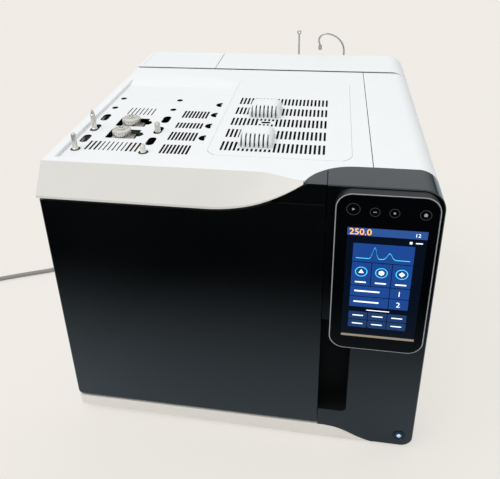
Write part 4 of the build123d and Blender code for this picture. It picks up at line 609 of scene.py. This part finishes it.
@dataclass(frozen=True)
class Studio:
    """A pale bench under soft light from the upper left."""

    sky: float = 0.84
    sun: float = 1.0
    sun_spread: float = 50.0
    sun_from: tuple[float, float, float] = (-0.42, -0.2, 0.88)
    backdrop: str = "#efece7"
    bench: str = "#ece7df"
    bench_front: float = -0.8
    evenness: float = 0.7
    mirror_fade: tuple[float, float] = (-0.64, -0.26)
    mirror_share: float = 0.72

    def build(self) -> None:
        """Adds the world, the lamp and the bench."""
        scene = bpy.context.scene
        scene.view_settings.view_transform = "Standard"
        self._world(scene)
        lamp_data = bpy.data.lights.new("ceiling_light", "SUN")
        lamp_data.energy = self.sun
        lamp_data.angle = math.radians(self.sun_spread)
        lamp_data.color = (1.0, 0.985, 0.96)
        lamp = bpy.data.objects.new("ceiling_light", lamp_data)
        lamp.rotation_euler = Vector(self.sun_from).to_track_quat("Z", "Y").to_euler()
        scene.collection.objects.link(lamp)
        self._bench()

    def _world(self, scene: bpy.types.Scene) -> None:
        """A pale backdrop to the camera, soft sky as light, and a room dim at the foot in reflections."""
        world = bpy.data.worlds.new("soft_room")
        world.use_nodes = True
        scene.world = world
        tree = world.node_tree
        tree.nodes.clear()
        rays = add_node(tree, "ShaderNodeLightPath").outputs
        up = add_node(tree, "ShaderNodeSeparateXYZ", inputs={
            0: add_node(tree, "ShaderNodeTexCoord").outputs["Generated"]}).outputs["Z"]
        share = add_node(tree, "ShaderNodeMapRange", inputs={
            "Value": up, "From Min": -0.05, "From Max": 0.55}).outputs["Result"]
        sky_colour = add_node(tree, "ShaderNodeMix", {"data_type": "RGBA"}, {
            0: share, 6: linear("#161615"), 7: linear("#f3faff")}).outputs[2]
        light = add_node(tree, "ShaderNodeBackground", inputs={
            "Color": linear("#fafaf9"), "Strength": self.sky}).outputs[0]
        mirror = add_node(tree, "ShaderNodeBackground", inputs={"Color": sky_colour, "Strength": 0.95}).outputs[0]
        seen = add_node(tree, "ShaderNodeBackground", inputs={
            "Color": linear(self.backdrop), "Strength": 1.0}).outputs[0]
        lit = add_node(tree, "ShaderNodeMixShader", inputs={
            0: rays["Is Glossy Ray"], 1: light, 2: mirror}).outputs[0]
        out = add_node(tree, "ShaderNodeMixShader", inputs={0: rays["Is Camera Ray"], 1: lit, 2: seen}).outputs[0]
        add_node(tree, "ShaderNodeOutputWorld", inputs={"Surface": out})

    def _bench(self) -> None:
        """A matt pale bench top; in reflections it darkens towards the viewer."""
        shape = bmesh.new()
        corners = [(-4.0, self.bench_front), (4.0, self.bench_front), (4.0, 7.0), (-4.0, 7.0)]
        shape.faces.new([shape.verts.new((x, y, -0.2 * MM)) for x, y in corners])
        bench = new_piece("bench_top", finish_mesh(shape, "bench_top"), None)
        material = bpy.data.materials.new("matt_bench_laminate")
        material.use_nodes = True
        tree = material.node_tree
        tree.nodes.clear()
        place = add_node(tree, "ShaderNodeTexCoord").outputs["Object"]
        depth = add_node(tree, "ShaderNodeSeparateXYZ", inputs={0: place}).outputs["Y"]
        fade = add_node(tree, "ShaderNodeMapRange", {"interpolation_type": "SMOOTHSTEP"}, {
            "Value": depth, "From Min": self.mirror_fade[0], "From Max": self.mirror_fade[1],
            "To Min": 0.0, "To Max": self.mirror_share}).outputs["Result"]
        speckle = add_node(tree, "ShaderNodeTexNoise", inputs={"Vector": place, "Scale": 3.0}).outputs["Fac"]
        top = add_node(tree, "ShaderNodeMix", {"data_type": "RGBA"}, {
            0: speckle, 6: linear(self.bench), 7: linear("#e9e3da")}).outputs[2]
        dim = add_node(tree, "ShaderNodeMix", {"data_type": "RGBA"}, {
            0: fade, 6: linear("#000000"), 7: linear("#c9dbe8")}).outputs[2]
        glossy = add_node(tree, "ShaderNodeLightPath").outputs["Is Glossy Ray"]
        colour = add_node(tree, "ShaderNodeMix", {"data_type": "RGBA"}, {0: glossy, 6: top, 7: dim}).outputs[2]
        lit = add_node(tree, "ShaderNodeBsdfDiffuse", inputs={"Color": colour}).outputs[0]
        even = add_node(tree, "ShaderNodeEmission", inputs={"Color": linear(self.backdrop)}).outputs[0]
        seen = add_node(tree, "ShaderNodeMath", {"operation": "MULTIPLY"}, {
            0: add_node(tree, "ShaderNodeLightPath").outputs["Is Camera Ray"], 1: self.evenness}).outputs[0]
        shader = add_node(tree, "ShaderNodeMixShader", inputs={0: seen, 1: lit, 2: even}).outputs[0]
        add_node(tree, "ShaderNodeOutputMaterial", inputs={"Surface": shader})
        bench.data.materials.append(material)


# ---------------------------------------------------------------- mains cord
def smooth_step(value: float, low: float, high: float) -> float:
    """0 below low, 1 above high, and smooth between them."""
    share = min(1.0, max(0.0, (value - low) / (high - low)))
    return share * share * (3 - 2 * share)


@dataclass(frozen=True)
class MainsCord:
    """The mains cord: its route in millimetres, the coil where its spare length is put away, and its tail."""

    diameter: float = 9.0
    route: tuple[tuple[float, float, float], ...] = (
        (-215.5, 259, 60), (-215.5, 330, 60), (-232, 402, 26), (-285, 452, 4.7), (-352, 440, 4.7),
        (-398, 385, 4.7), (-404, 305, 4.7), (-396, 220, 4.7), (-404, 135, 4.7), (-440, 60, 4.7),
        (-517, 29.5, 4.7), (-598, -8, 4.7))
    centre: tuple[float, float] = (-636.0, -80.4)
    start_angle: float = 116.4
    sweep: float = 1153.6
    step: float = 17.0
    tail: tuple[tuple[float, float, float], ...] = (
        (-691, -103, 12.7), (-688, -128, 7.6), (-668, -166, 10.4), (-652, -196, 11.0))

    def coil_point(self, turned_by: float) -> tuple[float, float, float]:
        """A control point of the coil: turns lie beside and on each other, a diameter apart.

        Args:
            turned_by: degrees since the coil's start.

        Returns:
            The point, in millimetres.
        """
        radius = 50.8 - 9.4 * smooth_step(turned_by, 262, 340)
        rise = smooth_step(turned_by, 545, 605)
        height = 4.7 + 9.2 * rise
        radius += 4.2 * rise + 9.6 * smooth_step(turned_by, 895, 950)
        angle = math.radians(self.start_angle + turned_by)
        return (self.centre[0] + radius * math.cos(angle), self.centre[1] + radius * math.sin(angle), height)

    def points(self) -> list[tuple[float, float, float]]:
        """All control points, in millimetres."""
        count = round(self.sweep / self.step)
        coil = [self.coil_point(self.sweep * i / count) for i in range(count + 1)]
        return [*self.route, *coil, *self.tail]

    def build(self) -> None:
        """Adds the cord, its plug and its strain relief."""
        points = self.points()
        curve = bpy.data.curves.new("mains_cord", "CURVE")
        curve.dimensions = "3D"
        spline = curve.splines.new("NURBS")
        spline.points.add(len(points) - 1)
        for target, point in zip(spline.points, points):
            target.co = (*(value * MM for value in point), 1.0)
        spline.order_u = 3
        spline.use_endpoint_u = True
        spline.resolution_u = 8
        length = self._length(curve)
        curve.bevel_depth = self.diameter / 2 * MM
        curve.bevel_resolution = 6
        curve.use_fill_caps = True
        piece = new_piece("mains_cord", curve, Surface.PVC_GREY)
        seat(piece, "chassis", "cord_grey", "power_cord", "cord_coil")
        plug = eased_copy("cord_plug", Surface.RUBBER, 1.6 * MM, 3)
        LOG.info("mains cord %.3f m", length)
        self._strain_relief()

    @staticmethod
    def _length(curve: bpy.types.Curve) -> float:
        """Length of a curve without bevel, in metres, to the nearest centimetre."""
        probe = bpy.data.objects.new("probe", curve)
        bpy.context.scene.collection.objects.link(probe)
        graph = bpy.context.evaluated_depsgraph_get()
        line = bpy.data.meshes.new_from_object(probe.evaluated_get(graph))
        total = sum((line.vertices[e.vertices[0]].co - line.vertices[e.vertices[1]].co).length for e in line.edges)
        bpy.data.meshes.remove(line)
        bpy.data.objects.remove(probe)
        return round(total, 2)

    def _strain_relief(self) -> None:
        """A tapered, ribbed sleeve where the cord leaves the back."""
        low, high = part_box("cord_gland")
        start, end = BACK + 4 * MM, high[1] - 0.2 * MM
        profile = [(0.0, low[1]), (7.6 * MM, low[1]), (7.6 * MM, BACK - 0.2 * MM), (11 * MM, BACK),
                   (11 * MM, BACK + 3 * MM), (10 * MM, start)]
        ribs = 6
        for rib in range(ribs):
            share, after = rib / ribs, (rib + 0.55) / ribs
            profile += [(7.4 * MM - 1.9 * MM * share, start + (end - start) * share),
                        (7.4 * MM - 1.9 * MM * after, start + (end - start) * after),
                        (5.3 * MM - 0.6 * MM * after, start + (end - start) * (after + 0.06)),
                        (5.3 * MM - 0.6 * MM * after, start + (end - start) * (rib + 0.98) / ribs)]
        profile += [(5.2 * MM, end), (0.0, end)]
        x, z = self.route[0][0] * MM, self.route[0][2] * MM
        relief = turned("cord_strain_relief", profile, Vector((x, 0.0, z)), Surface.RUBBER, Vector((0, 1, 0)))
        seat(relief, "chassis", "rubber_black", "cord_gland")


# ---------------------------------------------------------------- console
@dataclass
class Console:
    """The touch console's lit screen, with generic tiles and numbers."""

    left: float = 145.5
    right: float = 238.0
    low: float = 220.0
    high: float = 389.0
    face: float = -281.8
    parts: list[bpy.types.Object] = field(default_factory=list)

    def tile(self, x0: float, x1: float, z0: float, z1: float, surface: Surface, layer: int,
             radius: float = 1.2) -> None:
        """Adds a rounded tile, in millimetres from the screen's lower left corner."""
        sides = (self.left + x0, self.left + x1, self.low + z0, self.low + z1)
        outline = rectangle(*(v * MM for v in sides), radius * MM)
        self.mark(outline, surface, layer)

    def mark(self, outline: Sequence[Vector], surface: Surface, layer: int) -> None:
        """Adds a flat mark on a layer of the screen."""
        front = (self.face - 0.03 * layer) * MM
        self.parts.append(slab(f"mark_{len(self.parts)}", outline, front, front + 0.02 * MM, surface))

    def number(self, text: str, x: float, z: float, size: float, surface: Surface) -> None:
        """Writes a plain number, in millimetres from the screen's lower left corner."""
        curve = bpy.data.curves.new("number", "FONT")
        curve.body = text
        curve.size = size * MM
        curve.extrude = 0.01 * MM
        curve.resolution_u = 3
        curve.offset = 0.02 * MM
        probe = bpy.data.objects.new("number", curve)
        bpy.context.scene.collection.objects.link(probe)
        graph = bpy.context.evaluated_depsgraph_get()
        mesh = bpy.data.meshes.new_from_object(probe.evaluated_get(graph))
        bpy.data.objects.remove(probe)
        place = Vector(((self.left + x) * MM, (self.face - 0.12) * MM, (self.low + z) * MM))
        mesh.transform(Matrix.Translation(place) @ Matrix.Rotation(math.radians(90), 4, "X"))
        self.parts.append(new_piece(f"number_{len(self.parts)}", mesh, surface))

    def build(self) -> None:
        """Draws the screen and joins it to one piece."""
        self.mark(rectangle(*(v * MM for v in (self.left, self.right, self.low, self.high)), 0.4 * MM),
                  Surface.SCREEN_BLACK, 0)
        self.tile(0, 92.5, 158, 169, Surface.SCREEN_BLUE, 1, 0.2)
        self.number("250.0", 2.0, 159.4, 12.0, Surface.SCREEN_AMBER)
        self.number("12", 78, 160.8, 7.0, Surface.SCREEN_WHITE)
        self.tile(73, 76, 150.5, 153.8, Surface.SCREEN_WHITE, 1, 0.3)
        self.tile(80, 88, 151.4, 152.8, Surface.SCREEN_WHITE, 1, 0.3)
        # trend tile with a two-peak trace
        self.tile(8, 80, 120, 147, Surface.SCREEN_NAVY, 1, 0.8)
        self.trace(12, 76, 125, 17)
        # three tall tiles over two wide ones
        for column, sides in enumerate((3, 6, 4)):
            x0 = 8 + column * 24.3
            self.tile(x0, x0 + 23.4, 84, 119, Surface.SCREEN_NAVY, 1, 0.8)
            self.tile(x0 + 5, x0 + 18.4, 88, 90, Surface.SCREEN_WHITE, 2, 0.4)
            centre_x, centre_z = (self.left + x0 + 11.7) * MM, (self.low + 105) * MM
            self.mark(polygon(centre_x, centre_z, 7.4 * MM, 28), Surface.SCREEN_CYAN, 2)
            self.mark(polygon(centre_x, centre_z, 6.5 * MM, 28), Surface.SCREEN_NAVY, 3)
            self.mark(polygon(centre_x, centre_z, 3.8 * MM, sides, math.radians(90)), Surface.SCREEN_WHITE, 4)
        for row in range(2):
            z0 = 67 - row * 17
            self.tile(8, 55.7, z0, z0 + 16, Surface.SCREEN_NAVY, 1, 0.8)
            self.tile(56.6, 80, z0, z0 + 16, Surface.SCREEN_NAVY, 1, 0.8)
            self.tile(13, 44, z0 + 7, z0 + 9.2, Surface.SCREEN_WHITE, 2, 0.5)
            self.number(str(row + 1), 65.0, z0 + 4, 11, Surface.SCREEN_WHITE)
        self.tile(30, 58, 44.6, 45.8, Surface.SCREEN_WHITE, 1, 0.3)
        for column in range(3):
            for row in range(2):
                x0, z0 = 8 + column * 24.3, 29.5 - row * 13.4
                self.tile(x0, x0 + 23.4, z0, z0 + 12.4, Surface.SCREEN_STEEL, 1, 0.8)
                self.tile(x0 + 5, x0 + 18.4, z0 + 5.4, z0 + 7.0, Surface.SCREEN_WHITE, 2, 0.4)
        self.tile(0, 92.5, 0, 3.6, Surface.SCREEN_SAND, 1, 0.1)
        screen = joined("screen_lit", self.parts)
        seat(screen, "chassis", "screen", "display_panel")

    def trace(self, x0: float, x1: float, z0: float, height: float) -> None:
        """Draws a line with two rounded peaks across the trend tile."""
        steps = 44
        line = []
        for step in range(steps + 1):
            share = step / steps
            peak = math.exp(-((share - 0.34) / 0.045) ** 2) + 0.55 * math.exp(-((share - 0.62) / 0.06) ** 2)
            line.append(Vector(((self.left + x0 + (x1 - x0) * share) * MM, (self.low + z0 + height * peak) * MM)))
        thick = Vector((0.0, 0.9 * MM))
        shape = bmesh.new()
        front = (self.face - 0.06) * MM
        low = [shape.verts.new((p.x, front, p.y)) for p in line]
        top = [shape.verts.new((p.x, front, p.y + thick.y)) for p in line]
        for index in range(steps):
            shape.faces.new((low[index], low[index + 1], top[index + 1], top[index]))
        self.parts.append(new_piece("trace", finish_mesh(shape, "trace"), Surface.SCREEN_CYAN))


@dataclass(frozen=True)
class KeyMark:
    """A printed mark on a console key, with a grey ring painted as a highlight round its edge."""

    node: str
    x: float
    z: float
    # radius of the painted highlight ring near the key's edge
    ring: float
    outline: tuple[tuple[float, float], ...]
    print_set_back: float = 0.01
    glass_set_back: float = 0.04
    line_width: float = 0.4
    steps: int = 48

    def build(self) -> None:
        """Adds the key with eased edges, a grey ring painted as a highlight near its edge, and its printed mark, none
        of them proud of the solid.
        """
        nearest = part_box(self.node)[0][1]
        front = nearest + self.print_set_back * MM
        key = eased_copy(self.node, Surface.BLACK_GLASS, 0.12 * MM, 2)
        for vertex in key.data.vertices:
            vertex.co.y = max(vertex.co.y, nearest + self.glass_set_back * MM)
        steps = self.steps
        circle = polygon(0.0, 0.0, 1.0, steps)
        centre = Vector((self.x, self.z))
        # painted highlight: a grey ring near the key's edge
        shape = bmesh.new()
        rings = [[shape.verts.new(self._point(centre + spoke * radius, front)) for spoke in circle]
                 for radius in (self.ring - self.line_width, self.ring)]
        for index in range(steps):
            after = (index + 1) % steps
            shape.faces.new((rings[0][index], rings[0][after], rings[1][after], rings[1][index]))
        ring = new_piece(f"{self.node}_ring", finish_mesh(shape, "ring"), Surface.KEY_EDGE_HIGHLIGHT)
        shape = bmesh.new()
        shape.faces.new([shape.verts.new(self._point(centre + Vector(place), front)) for place in self.outline])
        mark = new_piece(f"{self.node}_mark", finish_mesh(shape, "mark"), Surface.KEY_PRINT)
        for piece in (ring, mark):
            for face in piece.data.polygons:
                if face.normal.y > 0:
                    face.flip()
        seat(joined(f"{self.node}_print", [ring, mark]), body_name(self.node), slot_name(self.node))

    @staticmethod
    def _point(place: Vector, front: float) -> Vector:
        """A point on the key's face, from millimetres across and up."""
        return Vector((place.x * MM, front, place.y * MM))


# ---------------------------------------------------------------- hardware on the top
@dataclass(frozen=True)
class Post:
    """A turned post: place and a profile of radius and height above the bay, in millimetres."""

    x: float
    y: float
    profile: tuple[tuple[float, float], ...]

    def build(self, foot: float, bay: float) -> bpy.types.Object:
        """Turns the post.

        Args:
            foot: height of its foot, in metres.
            bay: height of the bay's cover, in metres.

        Returns:
            The post.
        """
        points = [(0.0, foot), (4.5 * MM, foot), (4.5 * MM, bay - 0.5 * MM)]
        points += [(radius * MM, bay + height * MM) for radius, height in self.profile]
        return turned("post", points, Vector((self.x * MM, self.y * MM, 0.0)), Surface.TURNED)


@dataclass(frozen=True)
class TopHardware:
    """Posts of the sampler, and the knurled septum caps."""

    bay: float = 432.0 * MM
    posts: tuple[Post, ...] = (
        Post(-230.5, -197, ((4.5, 1.5), (3.6, 2.2), (3.6, 22.2), (3.0, 23.4), (1.8, 24.0), (0.0, 24.0))),
        Post(-230.5, -128, ((4.5, 1.5), (3.6, 2.2), (3.6, 23.6), (2.7, 24.6), (2.7, 26.4), (0.7, 31.0), (0.0, 31.0))),
        Post(-131.5, -128, ((4.5, 1.5), (4.2, 2.2), (4.2, 13.0), (3.2, 14.7), (1.2, 15.0), (0.0, 15.0))),
        Post(-131.5, -197, ((4.5, 1.5), (3.8, 2.0), (3.8, 5.6), (2.9, 6.8), (3.8, 8.0), (3.8, 9.4), (1.8, 12.0),
                            (0.0, 12.5))))

    def build(self, ring: Repeat) -> None:
        """Adds the posts and both caps."""
        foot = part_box("autosampler_posts")[0][2]
        made = [post.build(foot, self.bay) for post in self.posts]
        seat(joined("sampler_posts", made), "chassis", "post_steel", "autosampler_posts")
        for node in ("septum_cap_front", "septum_cap_rear"):
            self.cap(node, ring)

    def cap(self, node: str, ring: Repeat) -> None:
        """Replaces a septum cap by a knurled one with a hexagon and a needle guide."""
        low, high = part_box(node)
        x, y = (low[0] + high[0]) / 2, (low[1] + high[1]) / 2
        foot, shoulder, top = low[2], low[2] + 8.8 * MM, high[2]
        centre = Vector((x, y, 0.0))
        disc = turned(f"{node}_disc", [
            (0.0, foot), (12.6 * MM, foot), (13.4 * MM, foot + 0.8 * MM), (13.4 * MM, shoulder - 1.9 * MM),
            (12.8 * MM, shoulder - 0.6 * MM), (11.6 * MM, shoulder), (9.4 * MM, shoulder),
            (9.0 * MM, shoulder - 0.6 * MM), (7.6 * MM, shoulder - 0.6 * MM), (7.2 * MM, shoulder),
            (0.0, shoulder)], centre, Surface.TURNED, steps=48)
        rib = slab(f"{node}_ribs", rectangle(12.9 * MM, 13.9 * MM, -0.95 * MM, 0.95 * MM, 0.4 * MM),
                   foot + 0.8 * MM, shoulder - 1.6 * MM, Surface.TURNED, "Z", 0.25 * MM)
        ring.spread(rib, Surface.TURNED, centre, 30)
        nut = slab(f"{node}_nut", polygon(x, y, 5.8 * MM, 6), shoulder, top - 0.9 * MM, Surface.TURNED, "Z",
                   0.45 * MM)
        guide = turned(f"{node}_guide", [
            (0.0, top - 2.2 * MM), (0.9 * MM, top - 1.2 * MM), (2.0 * MM, top), (2.9 * MM, top - 0.1 * MM),
            (3.4 * MM, top - 1.0 * MM), (3.4 * MM, top - 1.6 * MM)], centre, Surface.STAINLESS, steps=24)
        cap = joined(f"{node}_knurled", [disc, rib, nut, guide])
        seat(cap, body_name(node), slot_name(node), node)


# ---------------------------------------------------------------- housing and insides
@dataclass(frozen=True)
class Skin:
    """Which solids get rounded edges, with what finish, width in millimetres and segments."""

    node: str
    surface: Surface
    width: float
    segments: int = 2

    def build(self) -> None:
        """Stands the rounded copy in place of the solid."""
        eased_copy(self.node, self.surface, self.width * MM, self.segments)


SKINS = (
    Skin("left_side_panel", Surface.WHITE_COAT, 0.7),
    Skin("right_side_cover", Surface.WHITE_COAT, 0.7),
    Skin("top_deck", Surface.WHITE_COAT, 0.9, 3),
    Skin("rear_left_cover", Surface.WHITE_COAT, 0.8, 3),
    Skin("rear_right_cover", Surface.WHITE_COAT, 0.8, 3),
    Skin("rear_panel", Surface.WHITE_COAT, 0.4),
    Skin("injection_cover", Surface.WHITE_COAT, 0.35),
    Skin("detector_cover", Surface.WHITE_COAT, 0.35),
    # the fascia's greyer white is painted shade
    Skin("front_fascia", Surface.WHITE_ABS_WITH_PAINTED_SHADE, 1.0, 3),
    Skin("base_front_trim", Surface.WHITE_ABS, 1.2, 3),
    Skin("detector_hood_front", Surface.WHITE_COAT, 0.4),
    Skin("detector_hood_rear", Surface.WHITE_COAT, 0.4),
    Skin("upper_trim", Surface.BLACK_GLOSS, 1.0, 3),
    Skin("front_panel", Surface.BLACK_GLOSS, 1.2, 3),
    Skin("door_outer", Surface.BLACK_GLOSS, 1.2, 3),
    Skin("power_button", Surface.BLACK_ABS_AND_RIM_SHADE, 0.8, 3),
    Skin("console_body", Surface.BLACK_ABS_AND_RIM_SHADE, 1.0, 3),
    Skin("console_rim", Surface.SILVER, 0.3, 3),
    Skin("console_glass", Surface.BLACK_GLASS, 0.2),
    Skin("door_back_plate", Surface.STAINLESS, 0.5),
    Skin("door_plug", Surface.STAINLESS, 0.5),
    Skin("oven_front_frame", Surface.STAINLESS, 0.5),
    Skin("oven_baffle", Surface.STAINLESS, 0.3),
    Skin("oven_fan", Surface.STAINLESS, 0.4),
    Skin("door_gasket", Surface.SILICONE, 1.5, 3),
    Skin("injection_ports", Surface.TURNED, 0.6),
    Skin("detectors", Surface.TURNED, 0.6),
    Skin("gas_fittings", Surface.BRASS, 0.5),
    Skin("feet", Surface.RUBBER, 0.8),
)

SLOT_FINISHES = {
    "white_paint": Surface.WHITE_COAT, "white_mould": Surface.WHITE_ABS, "black_gloss": Surface.BLACK_GLOSS,
    "black_satin": Surface.BLACK_ABS_AND_RIM_SHADE, "rubber_black": Surface.RUBBER, "zinc_sheet": Surface.ZINC_WITH_PAINTED_SHADE,
    "block_aluminium": Surface.SILVER, "stainless": Surface.STAINLESS, "silver_rim": Surface.SILVER,
    "console_black": Surface.BLACK_ABS_AND_RIM_SHADE, "console_glass": Surface.BLACK_GLASS, "screen": Surface.SCREEN_BLACK,
    "key_black": Surface.BLACK_GLASS, "lamp_blue": Surface.LAMP, "mineral_wool": Surface.WOOL,
    "gasket_silicone": Surface.SILICONE, "heater_alloy": Surface.OXIDE, "motor_paint": Surface.MOTOR,
    "column_fused_silica": Surface.AMBER, "port_steel": Surface.TURNED, "post_steel": Surface.TURNED,
    "hood_white": Surface.WHITE_ABS, "board_green": Surface.BOARD, "fitting_brass": Surface.BRASS,
    "line_steel": Surface.STAINLESS, "cord_grey": Surface.PVC_GREY}

# the finger recess with its round corners: lowest and highest X and Z, and the depth where its walls begin
RECESS = ((118.5 * MM, 59.5 * MM), (161.5 * MM, 232.5 * MM))
RECESS_START = FRONT + 6 * MM
# a face of the rim is its bright front where it looks towards -Y at least this much; its other faces are painted
# black as painted shade
RIM_FRONT = -0.7
# painted shade on the punched edges of the covers: how far in they start, and how much they may look up or down
SLOT_SHADE_INSET = 1.5 * MM
SLOT_SHADE_TILT = 0.4

KEY_MARKS = (
    KeyMark("start_key", 150.7, 414.5, 7.9, ((-1.3, -1.8), (2.0, 0.0), (-1.3, 1.8))),
    KeyMark("prep_key", 175.6, 412.0, 5.9, ((-2.0, -0.5), (2.0, -0.5), (2.0, 0.5), (-2.0, 0.5))),
    KeyMark("stop_key", 197.9, 412.0, 5.9, ((-1.2, -1.2), (1.2, -1.2), (1.2, 1.2), (-1.2, 1.2))),
    KeyMark("home_key", 232.7, 412.0, 6.5, ((-1.8, -2.0), (1.8, -2.0), (1.8, 0.3), (2.6, 0.3), (0.0, 2.7),
                                            (-2.6, 0.3), (-1.8, 0.3))))


def repaint(node: str, surface: Surface, chosen: Callable[[bpy.types.MeshPolygon], bool]) -> None:
    """Gives some faces of a finished piece a second finish.

    Args:
        node: the CAD node whose finished copy is meant.
        surface: the second finish.
        chosen: says of a face whether it gets it.
    """
    mesh = bpy.data.objects[f"{node}_finished"].data
    mesh.materials.append(surface.value.material())
    for face in mesh.polygons:
        if chosen(face):
            face.material_index = len(mesh.materials) - 1


def shade_walls() -> None:
    """Darkens the finger recess with matt black, and paints shade in black on the rim behind its bright line and on
    the covers' punched edges.
    """
    low, high = RECESS
    repaint("front_panel", Surface.MATT_BLACK_AND_SLOT_SHADE, lambda face: face.center.y > RECESS_START and all(
        low[i] < face.center[2 * i] < high[i] for i in (0, 1)))
    # painted shade: the rim's faces that don't look forward get black, so only its front shows silver
    repaint("console_rim", Surface.BLACK_ABS_AND_RIM_SHADE, lambda face: face.normal.y > RIM_FRONT)
    # painted shade: the walls of the white covers' punched slots get matt black
    for node in ("injection_cover", "detector_cover"):
        left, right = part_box(node)
        repaint(node, Surface.MATT_BLACK_AND_SLOT_SHADE, lambda face: abs(face.normal.z) < SLOT_SHADE_TILT and all(
            left[i] + SLOT_SHADE_INSET < face.center[i] < right[i] - SLOT_SHADE_INSET for i in (0, 1)))


def add_power_symbol() -> None:
    """Adds the lit ring and bar on the power button's lamp."""
    low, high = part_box("power_lamp")
    x, z, back = (low[0] + high[0]) / 2, (low[2] + high[2]) / 2, low[1]
    front = back - 0.05 * MM
    outer, inner, steps = 2.5 * MM, 1.7 * MM, 40
    ring = [[Vector((point.x, y, point.y)) for point in polygon(x, z, radius, steps)]
            for radius, y in ((outer, back), (outer, front), (inner, front), (inner, back))]
    hoop = loft("power_hoop", ring, Surface.SCREEN_WHITE, closed_ends=False)
    outline = rectangle(x - 0.45 * MM, x + 0.45 * MM, z + 0.3 * MM, z + 3.2 * MM, 0.3 * MM)
    bar = slab("power_bar", outline, front, back, Surface.SCREEN_WHITE)
    seat(joined("power_symbol", [hoop, bar]), "power_switch", "lamp_blue")


def paint_remaining() -> None:
    """Gives every solid that still shows the finish of its slot."""
    for name, node in frame["nodes"].items():
        material = SLOT_FINISHES[slot_name(name)].value.material()
        for place in node.material_slots:
            place.link = "OBJECT"
            place.material = material


def add_rear_screws(rows: Repeat) -> None:
    """Adds the pan-head screws that hold the rear panel, four down each side."""
    profile = ((0.0, 0.0), (3.4, 0.0), (3.4, 0.5), (2.7, 1.3), (1.5, 1.6), (1.1, 0.9), (0.0, 0.9))
    head = turned("rear_screws", [(radius * MM, height * MM) for radius, height in profile],
                  Vector((0.0, 0.0, 0.0)), Surface.STAINLESS, Vector((0, 1, 0)), 20)
    inset, lowest, pitch = 12 * MM, 24 * MM, 120.9 * MM
    rows.spread(head, Surface.STAINLESS, Vector((LEFT + inset, BACK, lowest)), 2,
                (WIDTH - 2 * inset, 0, 0), 4, (0, 0, pitch))
    seat(head, "chassis", "stainless")


def main() -> None:
    """Makes the scene: camera and cord first, then the pieces, the light and the table."""
    logging.basicConfig(level=logging.INFO, format="%(levelname)s %(message)s")
    ViewCamera(place=(0.1192, -0.8541, 0.7691), turn=(64.991, 1.675, 9.473), lens=40.349,
               shift=(0.0251, -0.2006)).build()
    MainsCord().build()
    Studio().build()
    ring, rows = Repeat("ring_of_parts", True), Repeat("rows_of_parts", False)
    for skin in SKINS:
        skin.build()
    shade_walls()
    add_power_symbol()
    Console().build()
    for mark in KEY_MARKS:
        mark.build()
    TopHardware().build(ring)
    add_rear_screws(rows)
    paint_remaining()


if __name__ == "__main__":
    main()
